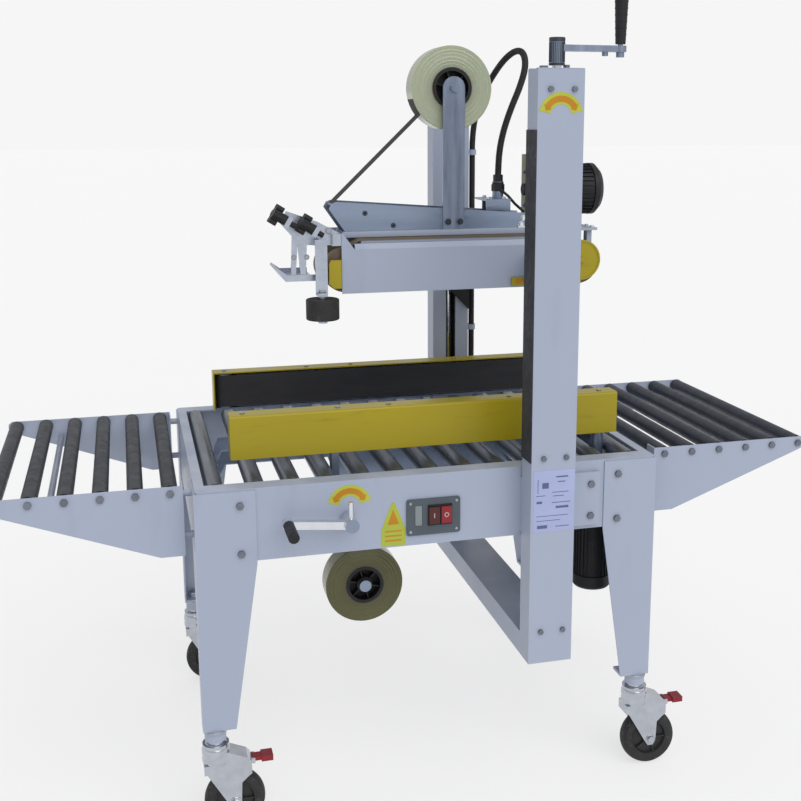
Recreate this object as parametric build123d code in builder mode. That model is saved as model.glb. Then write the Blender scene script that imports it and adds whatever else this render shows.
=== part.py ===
from build123d import *
import math
import os

# Semi-automatic carton sealer: side belts, upper and lower tape heads.
# Millimetres. X is the carton's way through, -Y the operator's side, Z up, floor at z = 0.

# ---- driving dimensions ----
YC = 26.5                 # machine centre plane, so that the whole machine is centred on y = 0
BED_X = 488.0             # half length of the bed box
BED_Y = 347.0             # half width of the bed box
BED_TOP = 731.0
BED_BOTTOM = 580.0
SHEET = 3.0
FLANGE = 40.0
LEG_X = 491.0
LEG_Y = 350.0
LEG_FOOT = 223.0
FOOT_X = 424.0            # inner edge of a leg at its foot
COL_X0 = 182.0
COL_X1 = 278.0
COL_Y0 = 356.0            # inner face of a column
COL_Y1 = 412.0            # outer face of a column
COL_BOTTOM = 315.0
COL_TOP = 1538.0
SLOT_Z0 = 755.0
SLOT_Z1 = 1423.0
SCREW_X = 230.0
SCREW_Y = 384.0
SCREW_R = 9.0
ROLL_R = 19.0             # bed roller
ROLL_Z = 714.0
BED_FIRST = -364.0        # first short roller
BED_PITCH = 73.7
EXT_ROLL_R = 16.0
EXT_Z = 719.0
EXT_PITCH = 66.5
EXT_FIRST = 533.0
EXT_COUNT = 6
EXT_Y = 304.0
EXT_TIP = 885.0
WIDTH_X = -188.0          # width screw
WIDTH_Z = 653.0
GUIDE_X = 262.0
BELT_OUT = 235.0
BELT_IN = 190.0
BELT_FACE = 187.0
GUARD_X0 = -407.0
GUARD_X1 = 447.0
GUARD_Z0 = 757.0
GUARD_Z1 = 849.0
PULLEY_X0 = -379.0
PULLEY_X1 = 412.0
TAPE_R = 92.0
TAPE_W = 54.0
CORE_R = 46.0
UP_ROLL = (122.0, 1511.0)
LOW_ROLL = (-89.0, 367.0)
TRAY_Y = 80.0
TRAY_X0 = -141.0
TRAY_X1 = 412.0
TRAY_Z0 = 1069.0
TRAY_Z1 = 1169.0
SHELF_Z = 1190.0
DRUM_Z = 1119.0
DRUM_X0 = -132.0
DRUM_X1 = 415.0
BEAM_X0 = 285.0           # cross beam of the head
BEAM_X1 = 355.0
CASTER_X = 466.0
CASTER_Y = 333.0
WHEEL_R = 62.5
WHEEL_OFF = 35.0
PEDAL_OFF = 75.0          # pivot of a brake pedal
PEDAL_Z = 146.0
GRIP_X = -313.0           # grip of the width crank
GRIP_Z = 664.0

os.makedirs("parts", exist_ok=True)


def slab(x0, x1, y0, y1, z0, z1, mode=Mode.ADD):
    with Locations(((x0 + x1) / 2, (y0 + y1) / 2 + YC, (z0 + z1) / 2)):
        Box(abs(x1 - x0), abs(y1 - y0), abs(z1 - z0), mode=mode)


def rod_z(x, y, z0, z1, r, mode=Mode.ADD):
    with Locations((x, y + YC, (z0 + z1) / 2)):
        Cylinder(r, abs(z1 - z0), mode=mode)


def rod_y(x, z, y0, y1, r, mode=Mode.ADD):
    with Locations((x, (y0 + y1) / 2 + YC, z)):
        Cylinder(r, abs(y1 - y0), rotation=(90, 0, 0), mode=mode)


def rod_x(y, z, x0, x1, r, mode=Mode.ADD):
    with Locations(((x0 + x1) / 2, y + YC, z)):
        Cylinder(r, abs(x1 - x0), rotation=(0, 90, 0), mode=mode)


def plate_xz(points, y0, y1, mode=Mode.ADD):
    # outline in x and z, from y0 up to y1
    with BuildSketch(Plane(origin=(0, y1 + YC, 0), x_dir=(1, 0, 0), z_dir=(0, -1, 0))) as outline:
        with BuildLine():
            Polyline(*points, close=True)
        make_face()
    extrude(to_extrude=outline.sketch, amount=y1 - y0, mode=mode)


def plate_yz(points, x0, x1, mode=Mode.ADD):
    # outline in y and z, from x0 up to x1
    moved = [(p[0] + YC, p[1]) for p in points]
    with BuildSketch(Plane(origin=(x0, 0, 0), x_dir=(0, 1, 0), z_dir=(1, 0, 0))) as outline:
        with BuildLine():
            Polyline(*moved, close=True)
        make_face()
    extrude(to_extrude=outline.sketch, amount=x1 - x0, mode=mode)


def hex_z(x, y, z0, z1, r, mode=Mode.ADD):
    with BuildSketch(Plane.XY.offset(z0)) as outline:
        with Locations((x, y + YC)):
            RegularPolygon(r, 6)
    extrude(to_extrude=outline.sketch, amount=z1 - z0, mode=mode)


def head_y(x, z, y0, y1, r):
    # hexagon head with its axis along y
    with BuildSketch(Plane(origin=(x, max(y0, y1) + YC, z), x_dir=(1, 0, 0), z_dir=(0, -1, 0))) as outline:
        RegularPolygon(r, 6)
    extrude(to_extrude=outline.sketch, amount=abs(y1 - y0))


# ---- bed box ----
def bed_side(s):
    slab(-BED_X + SHEET, BED_X - SHEET, s * BED_Y, s * (BED_Y - SHEET), BED_BOTTOM, BED_TOP)
    slab(-BED_X + SHEET, BED_X - SHEET, s * BED_Y, s * (BED_Y - FLANGE), BED_TOP - SHEET, BED_TOP)
    slab(-BED_X + SHEET, BED_X - SHEET, s * BED_Y, s * (BED_Y - 25), BED_BOTTOM, BED_BOTTOM + SHEET)


with BuildPart() as bed_side_front:
    bed_side(-1)
    slab(-58, 42, -BED_Y - 1, -BED_Y + 4, 610, 671, Mode.SUBTRACT)
    rod_y(WIDTH_X, WIDTH_Z, -BED_Y - 1, -BED_Y + 4, 12, Mode.SUBTRACT)
    rod_y(GUIDE_X, WIDTH_Z, -BED_Y - 1, -BED_Y + 4, 10.2, Mode.SUBTRACT)
bed_side_front.part.label = "bed_side_front"
export_step(bed_side_front.part, "parts/bed_side_front.step")

with BuildPart() as bed_side_rear:
    bed_side(1)
    rod_y(GUIDE_X, WIDTH_Z, BED_Y + 1, BED_Y - 4, 10.2, Mode.SUBTRACT)
    for x in (-120, 20):
        for z in (616, 696):
            rod_y(x, z, BED_Y + 1, BED_Y - 4, 4.5, Mode.SUBTRACT)
bed_side_rear.part.label = "bed_side_rear"
export_step(bed_side_rear.part, "parts/bed_side_rear.step")


def bed_end(s):
    inner = BED_Y - SHEET
    slab(s * BED_X, s * (BED_X - SHEET), -inner, inner, BED_BOTTOM, BED_TOP)
    lip = BED_Y - FLANGE
    slab(s * BED_X, s * (BED_X - 20), -lip, lip, BED_TOP - SHEET, BED_TOP)
    slab(s * BED_X, s * (BED_X - 20), -BED_Y + 25, BED_Y - 25, BED_BOTTOM, BED_BOTTOM + SHEET)


with BuildPart() as bed_end_infeed:
    bed_end(-1)
bed_end_infeed.part.label = "bed_end_infeed"
export_step(bed_end_infeed.part, "parts/bed_end_infeed.step")

with BuildPart() as bed_end_outfeed:
    bed_end(1)
bed_end_outfeed.part.label = "bed_end_outfeed"
export_step(bed_end_outfeed.part, "parts/bed_end_outfeed.step")


# ---- legs: folded tapering angles with a foot plate and caster neck ----
def leg(sx, sy):
    face = [(LEG_X, 727), (371, 727), (371, 575), (FOOT_X, LEG_FOOT), (LEG_X, LEG_FOOT)]
    face = [(sx * p[0], p[1]) for p in face]
    plate_xz(face, min(sy * LEG_Y, sy * BED_Y), max(sy * LEG_Y, sy * BED_Y))
    side = [(LEG_Y, 727), (250, 727), (250, 575), (310, LEG_FOOT), (LEG_Y, LEG_FOOT)]
    side = [(sy * p[0], p[1]) for p in side]
    plate_yz(side, min(sx * LEG_X, sx * BED_X), max(sx * LEG_X, sx * BED_X))
    slab(sx * LEG_X, sx * FOOT_X, sy * LEG_Y, sy * 310, LEG_FOOT, LEG_FOOT + 6)
    rod_z(sx * CASTER_X, sy * CASTER_Y, 200, LEG_FOOT, 22)
    rod_z(sx * CASTER_X, sy * CASTER_Y, LEG_FOOT + 6, LEG_FOOT + 16, 12)


with BuildPart() as leg_front_infeed:
    leg(-1, -1)
leg_front_infeed.part.label = "leg_front_infeed"
export_step(leg_front_infeed.part, "parts/leg_front_infeed.step")

with BuildPart() as leg_front_outfeed:
    leg(1, -1)
leg_front_outfeed.part.label = "leg_front_outfeed"
export_step(leg_front_outfeed.part, "parts/leg_front_outfeed.step")

with BuildPart() as leg_rear_infeed:
    leg(-1, 1)
leg_rear_infeed.part.label = "leg_rear_infeed"
export_step(leg_rear_infeed.part, "parts/leg_rear_infeed.step")

with BuildPart() as leg_rear_outfeed:
    leg(1, 1)
leg_rear_outfeed.part.label = "leg_rear_outfeed"
export_step(leg_rear_outfeed.part, "parts/leg_rear_outfeed.step")


# ---- columns: slotted box sections with a bolting plate to the bed ----
def column(s):
    slab(COL_X0, COL_X1, s * COL_Y0, s * COL_Y1, COL_BOTTOM, COL_TOP)
    slab(COL_X0 + 3, COL_X1 - 3, s * (COL_Y0 + 3), s * (COL_Y1 - 3), COL_BOTTOM + 4, COL_TOP - 4, Mode.SUBTRACT)
    slab(SCREW_X - 13, SCREW_X + 13, s * (COL_Y0 - 1), s * (COL_Y0 + 4), SLOT_Z0, SLOT_Z1, Mode.SUBTRACT)
    slab(200, 260, s * (COL_Y0 - 1), s * (COL_Y0 + 4), COL_BOTTOM + 4, 362, Mode.SUBTRACT)
    rod_z(SCREW_X, s * SCREW_Y, COL_TOP - 6, COL_TOP + 1, 12, Mode.SUBTRACT)
    slab(COL_X0, 358, s * COL_Y0, s * BED_Y, 590, 708)
    slab(SCREW_X - 13, SCREW_X + 13, s * COL_Y0, s * BED_Y, 700, 709, Mode.SUBTRACT)
    rod_y(GUIDE_X, WIDTH_Z, s * COL_Y0, s * (BED_Y - 1), 16, Mode.SUBTRACT)


with BuildPart() as front_column:
    column(-1)
front_column.part.label = "front_column"
export_step(front_column.part, "parts/front_column.step")

with BuildPart() as rear_column:
    column(1)
    # junction box and gland at the foot of the conduit, and the clips that hold it
    slab(COL_X1 - 1, 306, COL_Y0, 382, 664, 736)
    rod_z(290, 366, 735, 760, 12)
    for z in (900, 1130, 1360):
        slab(COL_X1 - 1, 290, 360, 372, z - 7, z + 7)
        rod_z(290, 366, z - 7, z + 7, 10.5)
        rod_z(290, 366, z - 8, z + 8, 8.08, Mode.SUBTRACT)
rear_column.part.label = "rear_column"
export_step(rear_column.part, "parts/rear_column.step")

with BuildPart() as cross_channel:
    slab(COL_X0, COL_X1, -COL_Y0, COL_Y0, COL_BOTTOM, COL_BOTTOM + 3)
    slab(COL_X0, COL_X0 + 3, -COL_Y0, COL_Y0, COL_BOTTOM, 365)
    slab(COL_X1 - 3, COL_X1, -COL_Y0, COL_Y0, COL_BOTTOM, 365)
    slab(COL_X0, COL_X1, -COL_Y0, COL_Y0, 362, 365)
cross_channel.part.label = "cross_channel"
export_step(cross_channel.part, "parts/cross_channel.step")

# ---- bed rollers: one full-width roller, then two rows of short ones ----
with BuildPart() as bed_rollers:
    rod_y(-446, ROLL_Z, -305, 305, ROLL_R)
    rod_y(-446, ROLL_Z, -BED_Y + SHEET, BED_Y - SHEET, 5)
    for i in range(12):
        x = BED_FIRST + i * BED_PITCH
        for s in (-1, 1):
            rod_y(x, ROLL_Z, s * 304, s * 62, ROLL_R)
            rod_y(x, ROLL_Z, s * (BED_Y - SHEET), s * 58, 5)
bed_rollers.part.label = "bed_rollers"
export_step(bed_rollers.part, "parts/bed_rollers.step")

# ---- lower tape head, its roller rails and the roll's arm ----
with BuildPart() as lower_head_frame:
    rail = [(-485, 676), (-485, 692), (-422, 692), (-412, 726), (485, 726), (485, 640)]
    rail += [(-150, 640), (-170, 697), (-405, 697), (-415, 676)]
    for s in (-1, 1):
        plate_xz(rail, min(s * 54, s * 58), max(s * 54, s * 58))
        rod_y(GUIDE_X, WIDTH_Z, s * 53, s * 59, 10.2, Mode.SUBTRACT)
        slab(-150, 170, s * 42, s * 45, 610, 728)
    for x in (-130, 20, 150):
        rod_y(x, 650, -54, 54, 6)
    for x in (-100, 110):
        rod_y(x, 712, -42.5, 42.5, 14)
    for x, z in ((-446, 684), (440, 660)):
        rod_y(x, z, -54, 54, 6)
    arm = [(-132, 650), (-98, 650), (-68, 376), (-72, 350), (-89, 342), (-110, 354)]
    plate_xz(arm, 36, 43)
    rod_y(LOW_ROLL[0], LOW_ROLL[1], -33, 37, 8)
    rod_y(LOW_ROLL[0], LOW_ROLL[1], -38, -32, 14)
lower_head_frame.part.label = "lower_head_frame"
export_step(lower_head_frame.part, "parts/lower_head_frame.step")

with BuildPart() as guide_rod:
    rod_y(GUIDE_X, WIDTH_Z, -BED_Y, BED_Y, 10)
guide_rod.part.label = "guide_rod"
export_step(guide_rod.part, "parts/guide_rod.step")

# ---- switch box and its two buttons ----
with BuildPart() as switch_box:
    slab(-65, 49, -352, -347, 602, 679)
    fillet(switch_box.edges().filter_by(Axis.Y), 5)
    slab(-57, 41, -347, -300, 611, 670)
    slab(-54, 38, -349, -303, 614, 667, Mode.SUBTRACT)
    for x in (-8, 18):
        slab(x - 11.5, x + 11.5, -353, -346, 625.5, 662.5, Mode.SUBTRACT)
    slab(-48, -32, -353, -350, 622, 666, Mode.SUBTRACT)
switch_box.part.label = "switch_box"
export_step(switch_box.part, "parts/switch_box.step")


def button(x):
    slab(x - 11, x + 11, -359, -334, 626, 662)
    slab(x - 14, x + 14, -344, -340, 626, 662)


with BuildPart() as start_button:
    button(-8)
    slab(-23, -19, -345, -339, 620, 668, Mode.SUBTRACT)
    slab(3, 8, -345, -339, 620, 668, Mode.SUBTRACT)
start_button.part.label = "start_button"
export_step(start_button.part, "parts/start_button.step")

with BuildPart() as stop_button:
    button(18)
    slab(2, 7, -345, -339, 620, 668, Mode.SUBTRACT)
    slab(29, 34, -345, -339, 620, 668, Mode.SUBTRACT)
stop_button.part.label = "stop_button"
export_step(stop_button.part, "parts/stop_button.step")


# ---- infeed and outfeed extension tables ----
def table(s):
    side = [(508, 733), (876, 733), (884, 727), (EXT_TIP, 718), (881, 709), (868, 703), (556, 588), (508, 588)]
    side = [(s * p[0], p[1]) for p in side]
    for t in (-1, 1):
        plate_xz(side, min(t * EXT_Y, t * (EXT_Y - 3)), max(t * EXT_Y, t * (EXT_Y - 3)))
        slab(s * 508, s * 511, t * (EXT_Y - 3), t * 268, 588, 733)
        for z in (713, 626):
            rod_x(t * 286, z, s * LEG_X, s * 508, 7)
    rod_y(s * 600, 630, -EXT_Y + 3, EXT_Y - 3, 9)
    rod_y(s * 766, 688, -EXT_Y + 3, EXT_Y - 3, 7)


def table_rollers(s):
    for i in range(EXT_COUNT):
        x = s * (EXT_FIRST + i * EXT_PITCH)
        rod_y(x, EXT_Z, -298, 298, EXT_ROLL_R)
        rod_y(x, EXT_Z, -EXT_Y + 3, EXT_Y - 3, 5)


with BuildPart() as infeed_table:
    table(-1)
infeed_table.part.label = "infeed_table"
export_step(infeed_table.part, "parts/infeed_table.step")

with BuildPart() as outfeed_table:
    table(1)
outfeed_table.part.label = "outfeed_table"
export_step(outfeed_table.part, "parts/outfeed_table.step")

with BuildPart() as infeed_rollers:
    table_rollers(-1)
infeed_rollers.part.label = "infeed_rollers"
export_step(infeed_rollers.part, "parts/infeed_rollers.step")

with BuildPart() as outfeed_rollers:
    table_rollers(1)
outfeed_rollers.part.label = "outfeed_rollers"
export_step(outfeed_rollers.part, "parts/outfeed_rollers.step")

# ---- bolts of the frame, one set ----
with BuildPart() as frame_bolts:
    for s in (-1, 1):
        for sx in (-1, 1):
            for z in (698, 598):
                head_y(sx * 402, z, s * LEG_Y, s * (LEG_Y + 6), 8)
            for i in range(EXT_COUNT):
                head_y(sx * (EXT_FIRST + i * EXT_PITCH), EXT_Z, s * EXT_Y, s * (EXT_Y + 5), 8)
        for z in (682, 612):
            head_y(338, z, s * COL_Y0, s * (COL_Y0 + 5), 8)
        for x in (208, 257):
            for z in (1500, 764, 386):
                head_y(x, z, s * COL_Y1, s * (COL_Y1 + 5), 6)
        hex_z(255, s * 372, COL_TOP, COL_TOP + 9, 7)
        hex_z(199, s * 396, COL_TOP, COL_TOP + 6, 9)
frame_bolts.part.label = "frame_bolts"
export_step(frame_bolts.part, "parts/frame_bolts.step")


# ---- side belt units ----
def belt_guard(s):
    slab(GUARD_X0, GUARD_X1, s * BELT_OUT, s * BELT_IN, GUARD_Z0, GUARD_Z1)
    slab(GUARD_X0 + 3, GUARD_X1 - 3, s * (BELT_OUT - 3), s * (BELT_IN - 1), GUARD_Z0 - 1, GUARD_Z1 - 3, Mode.SUBTRACT)


def belt_frame(s):
    slab(GUARD_X0 + 4, GUARD_X1 - 4, s * (BELT_OUT - 4), s * 192, GUARD_Z0, GUARD_Z0 + 5)
    slab(PULLEY_X0 + 30, PULLEY_X1 - 30, s * 216, s * 200, GUARD_Z0 + 5, GUARD_Z1 - 8)
    for x in (PULLEY_X0, PULLEY_X1):
        rod_z(x, s * 208, GUARD_Z0 + 5, GUARD_Z1 - 5, 17.8)
    slab(WIDTH_X - 8, WIDTH_X + 8, s * 224, s * 196, 636, GUARD_Z0)
    slab(WIDTH_X - 15, WIDTH_X + 15, s * 228, s * 192, 634, 674)
    rod_y(WIDTH_X, WIDTH_Z, s * 190, s * 230, 8.08, Mode.SUBTRACT)
    slab(GUIDE_X - 8, GUIDE_X + 8, s * 224, s * 196, 636, GUARD_Z0)
    slab(GUIDE_X - 18, GUIDE_X + 18, s * 236, s * 184, 634, 674)
    rod_y(GUIDE_X, WIDTH_Z, s * 182, s * 238, 10.08, Mode.SUBTRACT)
    rod_z(PULLEY_X1, s * 208, 650, GUARD_Z0, 14)
    slab(PULLEY_X1 - 42, PULLEY_X1 + 38, s * 244, s * 172, 556, 650)
    rod_z(PULLEY_X1 - 4, s * 208, 394, 556, 40)
    rod_z(PULLEY_X1 - 4, s * 208, 390, 394, 34)


def belt_loop(s):
    with BuildSketch(Plane.XY.offset(766)) as loop:
        with Locations(((PULLEY_X0 + PULLEY_X1) / 2, s * 208 + YC)):
            SlotOverall(PULLEY_X1 - PULLEY_X0 + 42, 42)
            SlotOverall(PULLEY_X1 - PULLEY_X0 + 36, 36, mode=Mode.SUBTRACT)
    extrude(to_extrude=loop.sketch, amount=76)


with BuildPart() as front_belt_guard:
    belt_guard(-1)
    fillet(front_belt_guard.edges().filter_by(Axis.X).group_by(Axis.Z)[-1].sort_by(Axis.Y)[0], 5)
front_belt_guard.part.label = "front_belt_guard"
export_step(front_belt_guard.part, "parts/front_belt_guard.step")

with BuildPart() as rear_belt_guard:
    belt_guard(1)
    fillet(rear_belt_guard.edges().filter_by(Axis.X).group_by(Axis.Z)[-1].sort_by(Axis.Y)[-1], 5)
rear_belt_guard.part.label = "rear_belt_guard"
export_step(rear_belt_guard.part, "parts/rear_belt_guard.step")

with BuildPart() as front_belt_drive:
    belt_frame(-1)
front_belt_drive.part.label = "front_belt_drive"
export_step(front_belt_drive.part, "parts/front_belt_drive.step")

with BuildPart() as rear_belt_drive:
    belt_frame(1)
rear_belt_drive.part.label = "rear_belt_drive"
export_step(rear_belt_drive.part, "parts/rear_belt_drive.step")

with BuildPart() as front_belt:
    belt_loop(-1)
front_belt.part.label = "front_belt"
export_step(front_belt.part, "parts/front_belt.step")

with BuildPart() as rear_belt:
    belt_loop(1)
rear_belt.part.label = "rear_belt"
export_step(rear_belt.part, "parts/rear_belt.step")

# ---- width crank: screw through both units, hub, arm and turning grip ----
with BuildPart() as width_crank:
    rod_y(WIDTH_X, WIDTH_Z, -398, 343, 8)
    rod_y(WIDTH_X, WIDTH_Z, -402, -353, 14)
    plate_xz([(-198, 645), (-198, 661), (GRIP_X, GRIP_Z + 8), (GRIP_X, GRIP_Z - 8)], -396, -380)
    rod_y(GRIP_X, GRIP_Z, -398, -378, 12)
    rod_y(GRIP_X, GRIP_Z, -466, -398, 4.5)
    rod_z(WIDTH_X, -388, WIDTH_Z + 10, WIDTH_Z + 46, 5)
width_crank.part.label = "width_crank"
export_step(width_crank.part, "parts/width_crank.step")

with BuildPart() as width_grip:
    rod_y(GRIP_X, GRIP_Z, -470, -399, 11)
    rod_y(GRIP_X, GRIP_Z, -467, -390, 4.58, Mode.SUBTRACT)
    fillet(width_grip.edges().group_by(Axis.Y)[0], 4)
width_grip.part.label = "width_grip"
export_step(width_grip.part, "parts/width_grip.step")

# ---- head: carriage beam, belt tray, tape head ----
def crank_plan(inset):
    # plan of the cranked beam, half of it, seen from above: (x, distance from the middle)
    return [
        (210 + inset, 352 - inset),
        (300 - inset, 352 - inset),
        (300 - inset, 330),
        (BEAM_X1 - inset, 200),
        (BEAM_X1 - inset, 0),
        (BEAM_X0 + inset, 0),
        (BEAM_X0 + inset, 160),
        (210 + inset, 300),
    ]


with BuildPart() as head_carriage:
    # the beam stands clear of the columns and is cranked over to the nuts on the screws
    for inset, z0, z1, mode in ((0, 1079, 1150, Mode.ADD), (4, 1083, 1146, Mode.SUBTRACT)):
        for s in (-1, 1):
            with BuildSketch(Plane(origin=(0, YC, z0))) as plan:
                with BuildLine():
                    Polyline(*[(x, s * y) for x, y in crank_plan(inset)], close=True)
                make_face()
            extrude(to_extrude=plan.sketch, amount=z1 - z0, mode=mode)
    for s in (-1, 1):
        gusset = [(212, 1080), (212, 1018), (278, 950), (278, 1080)]
        plate_xz(gusset, min(s * 346, s * 352), max(s * 346, s * 352))
        slab(220, 240, s * 352, s * 368, 1085, 1145)
        slab(205, 255, s * 366, s * 402, 1085, 1145)
        rod_z(SCREW_X, s * SCREW_Y, 1080, 1150, SCREW_R + 0.08, Mode.SUBTRACT)
head_carriage.part.label = "head_carriage"
export_step(head_carriage.part, "parts/head_carriage.step")

with BuildPart() as head_tray:
    lip_z = TRAY_Z1 - 4
    near = [(TRAY_X0, TRAY_Z0), (TRAY_X1, TRAY_Z0), (TRAY_X1, lip_z), (-112, lip_z), (-139, 1202), (TRAY_X0, 1202)]
    plate_xz(near, -TRAY_Y, -77)
    plate_yz([(-80, lip_z - 3), (-73, 1177), (-70.5, 1177), (-77, lip_z - 3)], -111, TRAY_X1)
    far = [(TRAY_X0, TRAY_Z0), (TRAY_X1, TRAY_Z0), (TRAY_X1, SHELF_Z), (306, SHELF_Z), (300, 1200), (TRAY_X0, 1200)]
    plate_xz(far, 77, TRAY_Y)
    slab(BEAM_X0, BEAM_X1, -81, 81, 1079, 1150, Mode.SUBTRACT)
    for s in (-1, 1):
        for x in (-60, 120, 270):
            slab(x - 2, x + 2, s * 77, s * 40, 1084, 1165)
        slab(-95, 355, s * 66, s * 42, 1163, 1183)
    # shelf of the top motor, with the stem under its outer end
    slab(342, 472, -40, 80, SHELF_Z, SHELF_Z + 6)
    slab(452, 464, -26, -6, 1160, SHELF_Z)
head_tray.part.label = "head_tray"
export_step(head_tray.part, "parts/head_tray.step")

with BuildPart() as tape_head:
    side = [(-154, 1262), (-144, 1266), (300, 1233), (300, 1192), (180, 1192), (180, 1086)]
    side += [(-96, 1086), (-96, 1192), (-124, 1199), (-160, 1251)]
    for s in (-1, 1):
        plate_xz(side, min(s * 38, s * 35), max(s * 38, s * 35))
        slab(-130, 300, s * 38, s * 44, 1188, 1200)
    for x, z, r in ((-146, 1256, 6), (-60, 1234, 7), (60, 1224, 7), (285, 1209, 6), (-60, 1110, 9), (150, 1110, 9)):
        rod_y(x, z, -35, 35, r)
    for x, z, r in ((-80, 1240, 6), (-16, 1212, 6)):
        rod_y(x, z, -39, -34, r, Mode.SUBTRACT)
    # bracket and gland that hold the conduit
    slab(215, 274, 38, 42, 1196, 1262)
    slab(215, 274, 8, 100, 1258, 1262)
    slab(215, 274, 8, 11, 1236, 1262)
    rod_z(260, 60, 1262, 1300, 13)
tape_head.part.label = "tape_head"
export_step(tape_head.part, "parts/tape_head.step")

with BuildPart() as roll_arm:
    slab(97, 147, -44, -38, 1200, UP_ROLL[1])
    rod_y(UP_ROLL[0], UP_ROLL[1], -44, -38, 25)
    rod_y(UP_ROLL[0], UP_ROLL[1], -38, 36, 8)
    rod_y(UP_ROLL[0], UP_ROLL[1], 36, 42, 14)
    for x in (108, 136):
        rod_y(x, 1218, -49, -44, 6)
    rod_y(UP_ROLL[0], UP_ROLL[1], -52, -44, 9)
roll_arm.part.label = "roll_arm"
export_step(roll_arm.part, "parts/roll_arm.step")


def tape_roll(x, z):
    rod_y(x, z, -TAPE_W / 2, TAPE_W / 2, TAPE_R)
    rod_y(x, z, -TAPE_W / 2 - 1, TAPE_W / 2 + 1, CORE_R, Mode.SUBTRACT)


def roll_hub(x, z):
    rod_y(x, z, -31, 31, CORE_R - 0.05)
    rod_y(x, z, -32, -27, CORE_R - 10, Mode.SUBTRACT)
    rod_y(x, z, -32, -24, 20)
    rod_y(x, z, -40, 40, 8.08, Mode.SUBTRACT)


with BuildPart() as upper_tape_roll:
    tape_roll(*UP_ROLL)
upper_tape_roll.part.label = "upper_tape_roll"
export_step(upper_tape_roll.part, "parts/upper_tape_roll.step")

with BuildPart() as upper_roll_hub:
    roll_hub(*UP_ROLL)
upper_roll_hub.part.label = "upper_roll_hub"
export_step(upper_roll_hub.part, "parts/upper_roll_hub.step")

with BuildPart() as lower_tape_roll:
    tape_roll(*LOW_ROLL)
lower_tape_roll.part.label = "lower_tape_roll"
export_step(lower_tape_roll.part, "parts/lower_tape_roll.step")

with BuildPart() as lower_roll_hub:
    roll_hub(*LOW_ROLL)
lower_roll_hub.part.label = "lower_roll_hub"
export_step(lower_roll_hub.part, "parts/lower_roll_hub.step")

# ---- top belts: two narrow belts on two drums, and the yellow caps over the drums ----
with BuildPart() as top_belt:
    for s in (-1, 1):
        y1 = max(s * 40, s * 68)
        for thick, mode in ((0, Mode.ADD), (4, Mode.SUBTRACT)):
            top = DRUM_Z + 48 - thick
            crown = [(DRUM_X0, DRUM_Z), (DRUM_X0, top), (-100 + thick / 4, 1187 - thick), (360 - thick / 4, 1187 - thick)]
            crown += [(DRUM_X1, top), (DRUM_X1, DRUM_Z)]
            with BuildSketch(Plane(origin=(0, y1 + YC, 0), x_dir=(1, 0, 0), z_dir=(0, -1, 0))) as loop:
                with Locations(((DRUM_X0 + DRUM_X1) / 2, DRUM_Z)):
                    SlotOverall(DRUM_X1 - DRUM_X0 + 96 - 2 * thick, 96 - 2 * thick)
                with BuildLine():
                    Polyline(*crown, close=True)
                make_face()
            extrude(to_extrude=loop.sketch, amount=28, mode=mode)
    for x in (DRUM_X0, DRUM_X1):
        for s in (-1, 1):
            rod_y(x, DRUM_Z, s * 40, s * 68, 43.9)
        rod_y(x, DRUM_Z, -76, 76, 9)
top_belt.part.label = "top_belt"
export_step(top_belt.part, "parts/top_belt.step")

with BuildPart() as belt_end_caps:
    for s in (-1, 1):
        ya = min(s * 80, s * 86)
        plate_xz([(-166, 1144), (-143, 1144), (-143, 1082), (-160, 1082), (-170, 1092), (-170, 1136)], ya, ya + 6)
        slab(-155, -142, s * 73, s * 81, 1100, 1135)
        slab(-142, -122, s * 73, s * 77, 1100, 1135)
        rod_y(DRUM_X0, DRUM_Z, s * 72, s * 78, 9.2, Mode.SUBTRACT)
        rod_y(DRUM_X1, 1127, ya, ya + 6, 46)
        slab(247, DRUM_X1, ya, ya + 6, 1073, 1092)
        slab(BEAM_X0, BEAM_X1, s * 79, s * 87, 1079, 1150, Mode.SUBTRACT)
belt_end_caps.part.label = "belt_end_caps"
export_step(belt_end_caps.part, "parts/belt_end_caps.step")

# ---- entry bracket: fork, ski plate, knob lugs, press roller bar ----
PRESS_X = -188.0          # press roller
KNOB_DIR = (-0.85, 0.0, 0.53)
KNOB_A = (-262.0, -90.0, 1232.0)
KNOB_B = (-203.0, -90.0, 1211.0)


def knob_plane(p):
    return Plane(origin=(p[0], p[1] + YC, p[2]), x_dir=(0, 1, 0), z_dir=KNOB_DIR)


with BuildPart() as head_ski:
    fork = [(-141, 1174), (-141, 1200), (-190, 1226), (-256, 1250), (-272, 1226), (-246, 1196)]
    fork += [(-250, 1100), (-240, 1100), (-234, 1180), (-228, 1100), (-218, 1100), (-214, 1176)]
    ski = [(-196, 1098), (-196, 1112), (-258, 1112), (-277, 1126), (-280, 1121), (-262, 1098)]
    plate_xz(ski, -66, 66)
    inner = [(-195, 1102), (-195, 1113), (-256, 1113), (-272, 1127), (-277, 1119), (-260, 1102)]
    plate_xz(inner, -63, 63, Mode.SUBTRACT)
    plate_xz(fork, -62, -54)
    slab(-160, -125, -77, -54, 1174, 1184)
    slab(-160, -141, -77, -54, 1174, 1200)
    for p in (KNOB_A, KNOB_B):
        with BuildSketch(knob_plane(p)) as lug:
            with Locations((14, 0)):
                Rectangle(52, 24)
        extrude(to_extrude=lug.sketch, amount=-10)
        with BuildSketch(knob_plane(p)) as bore:
            Circle(6.08)
        extrude(to_extrude=bore.sketch, amount=-12, mode=Mode.SUBTRACT)
    slab(PRESS_X - 13, PRESS_X + 13, -94, -88, 1070, 1190)
    slab(PRESS_X - 13, PRESS_X + 13, -88, -62, 1176, 1190)
    rod_z(PRESS_X, -98, 1014, 1076, 6)
    slab(PRESS_X - 10, PRESS_X + 10, -108, -88, 1068, 1076)
    rod_z(PRESS_X, -98, 1010, 1015, 10)
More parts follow.
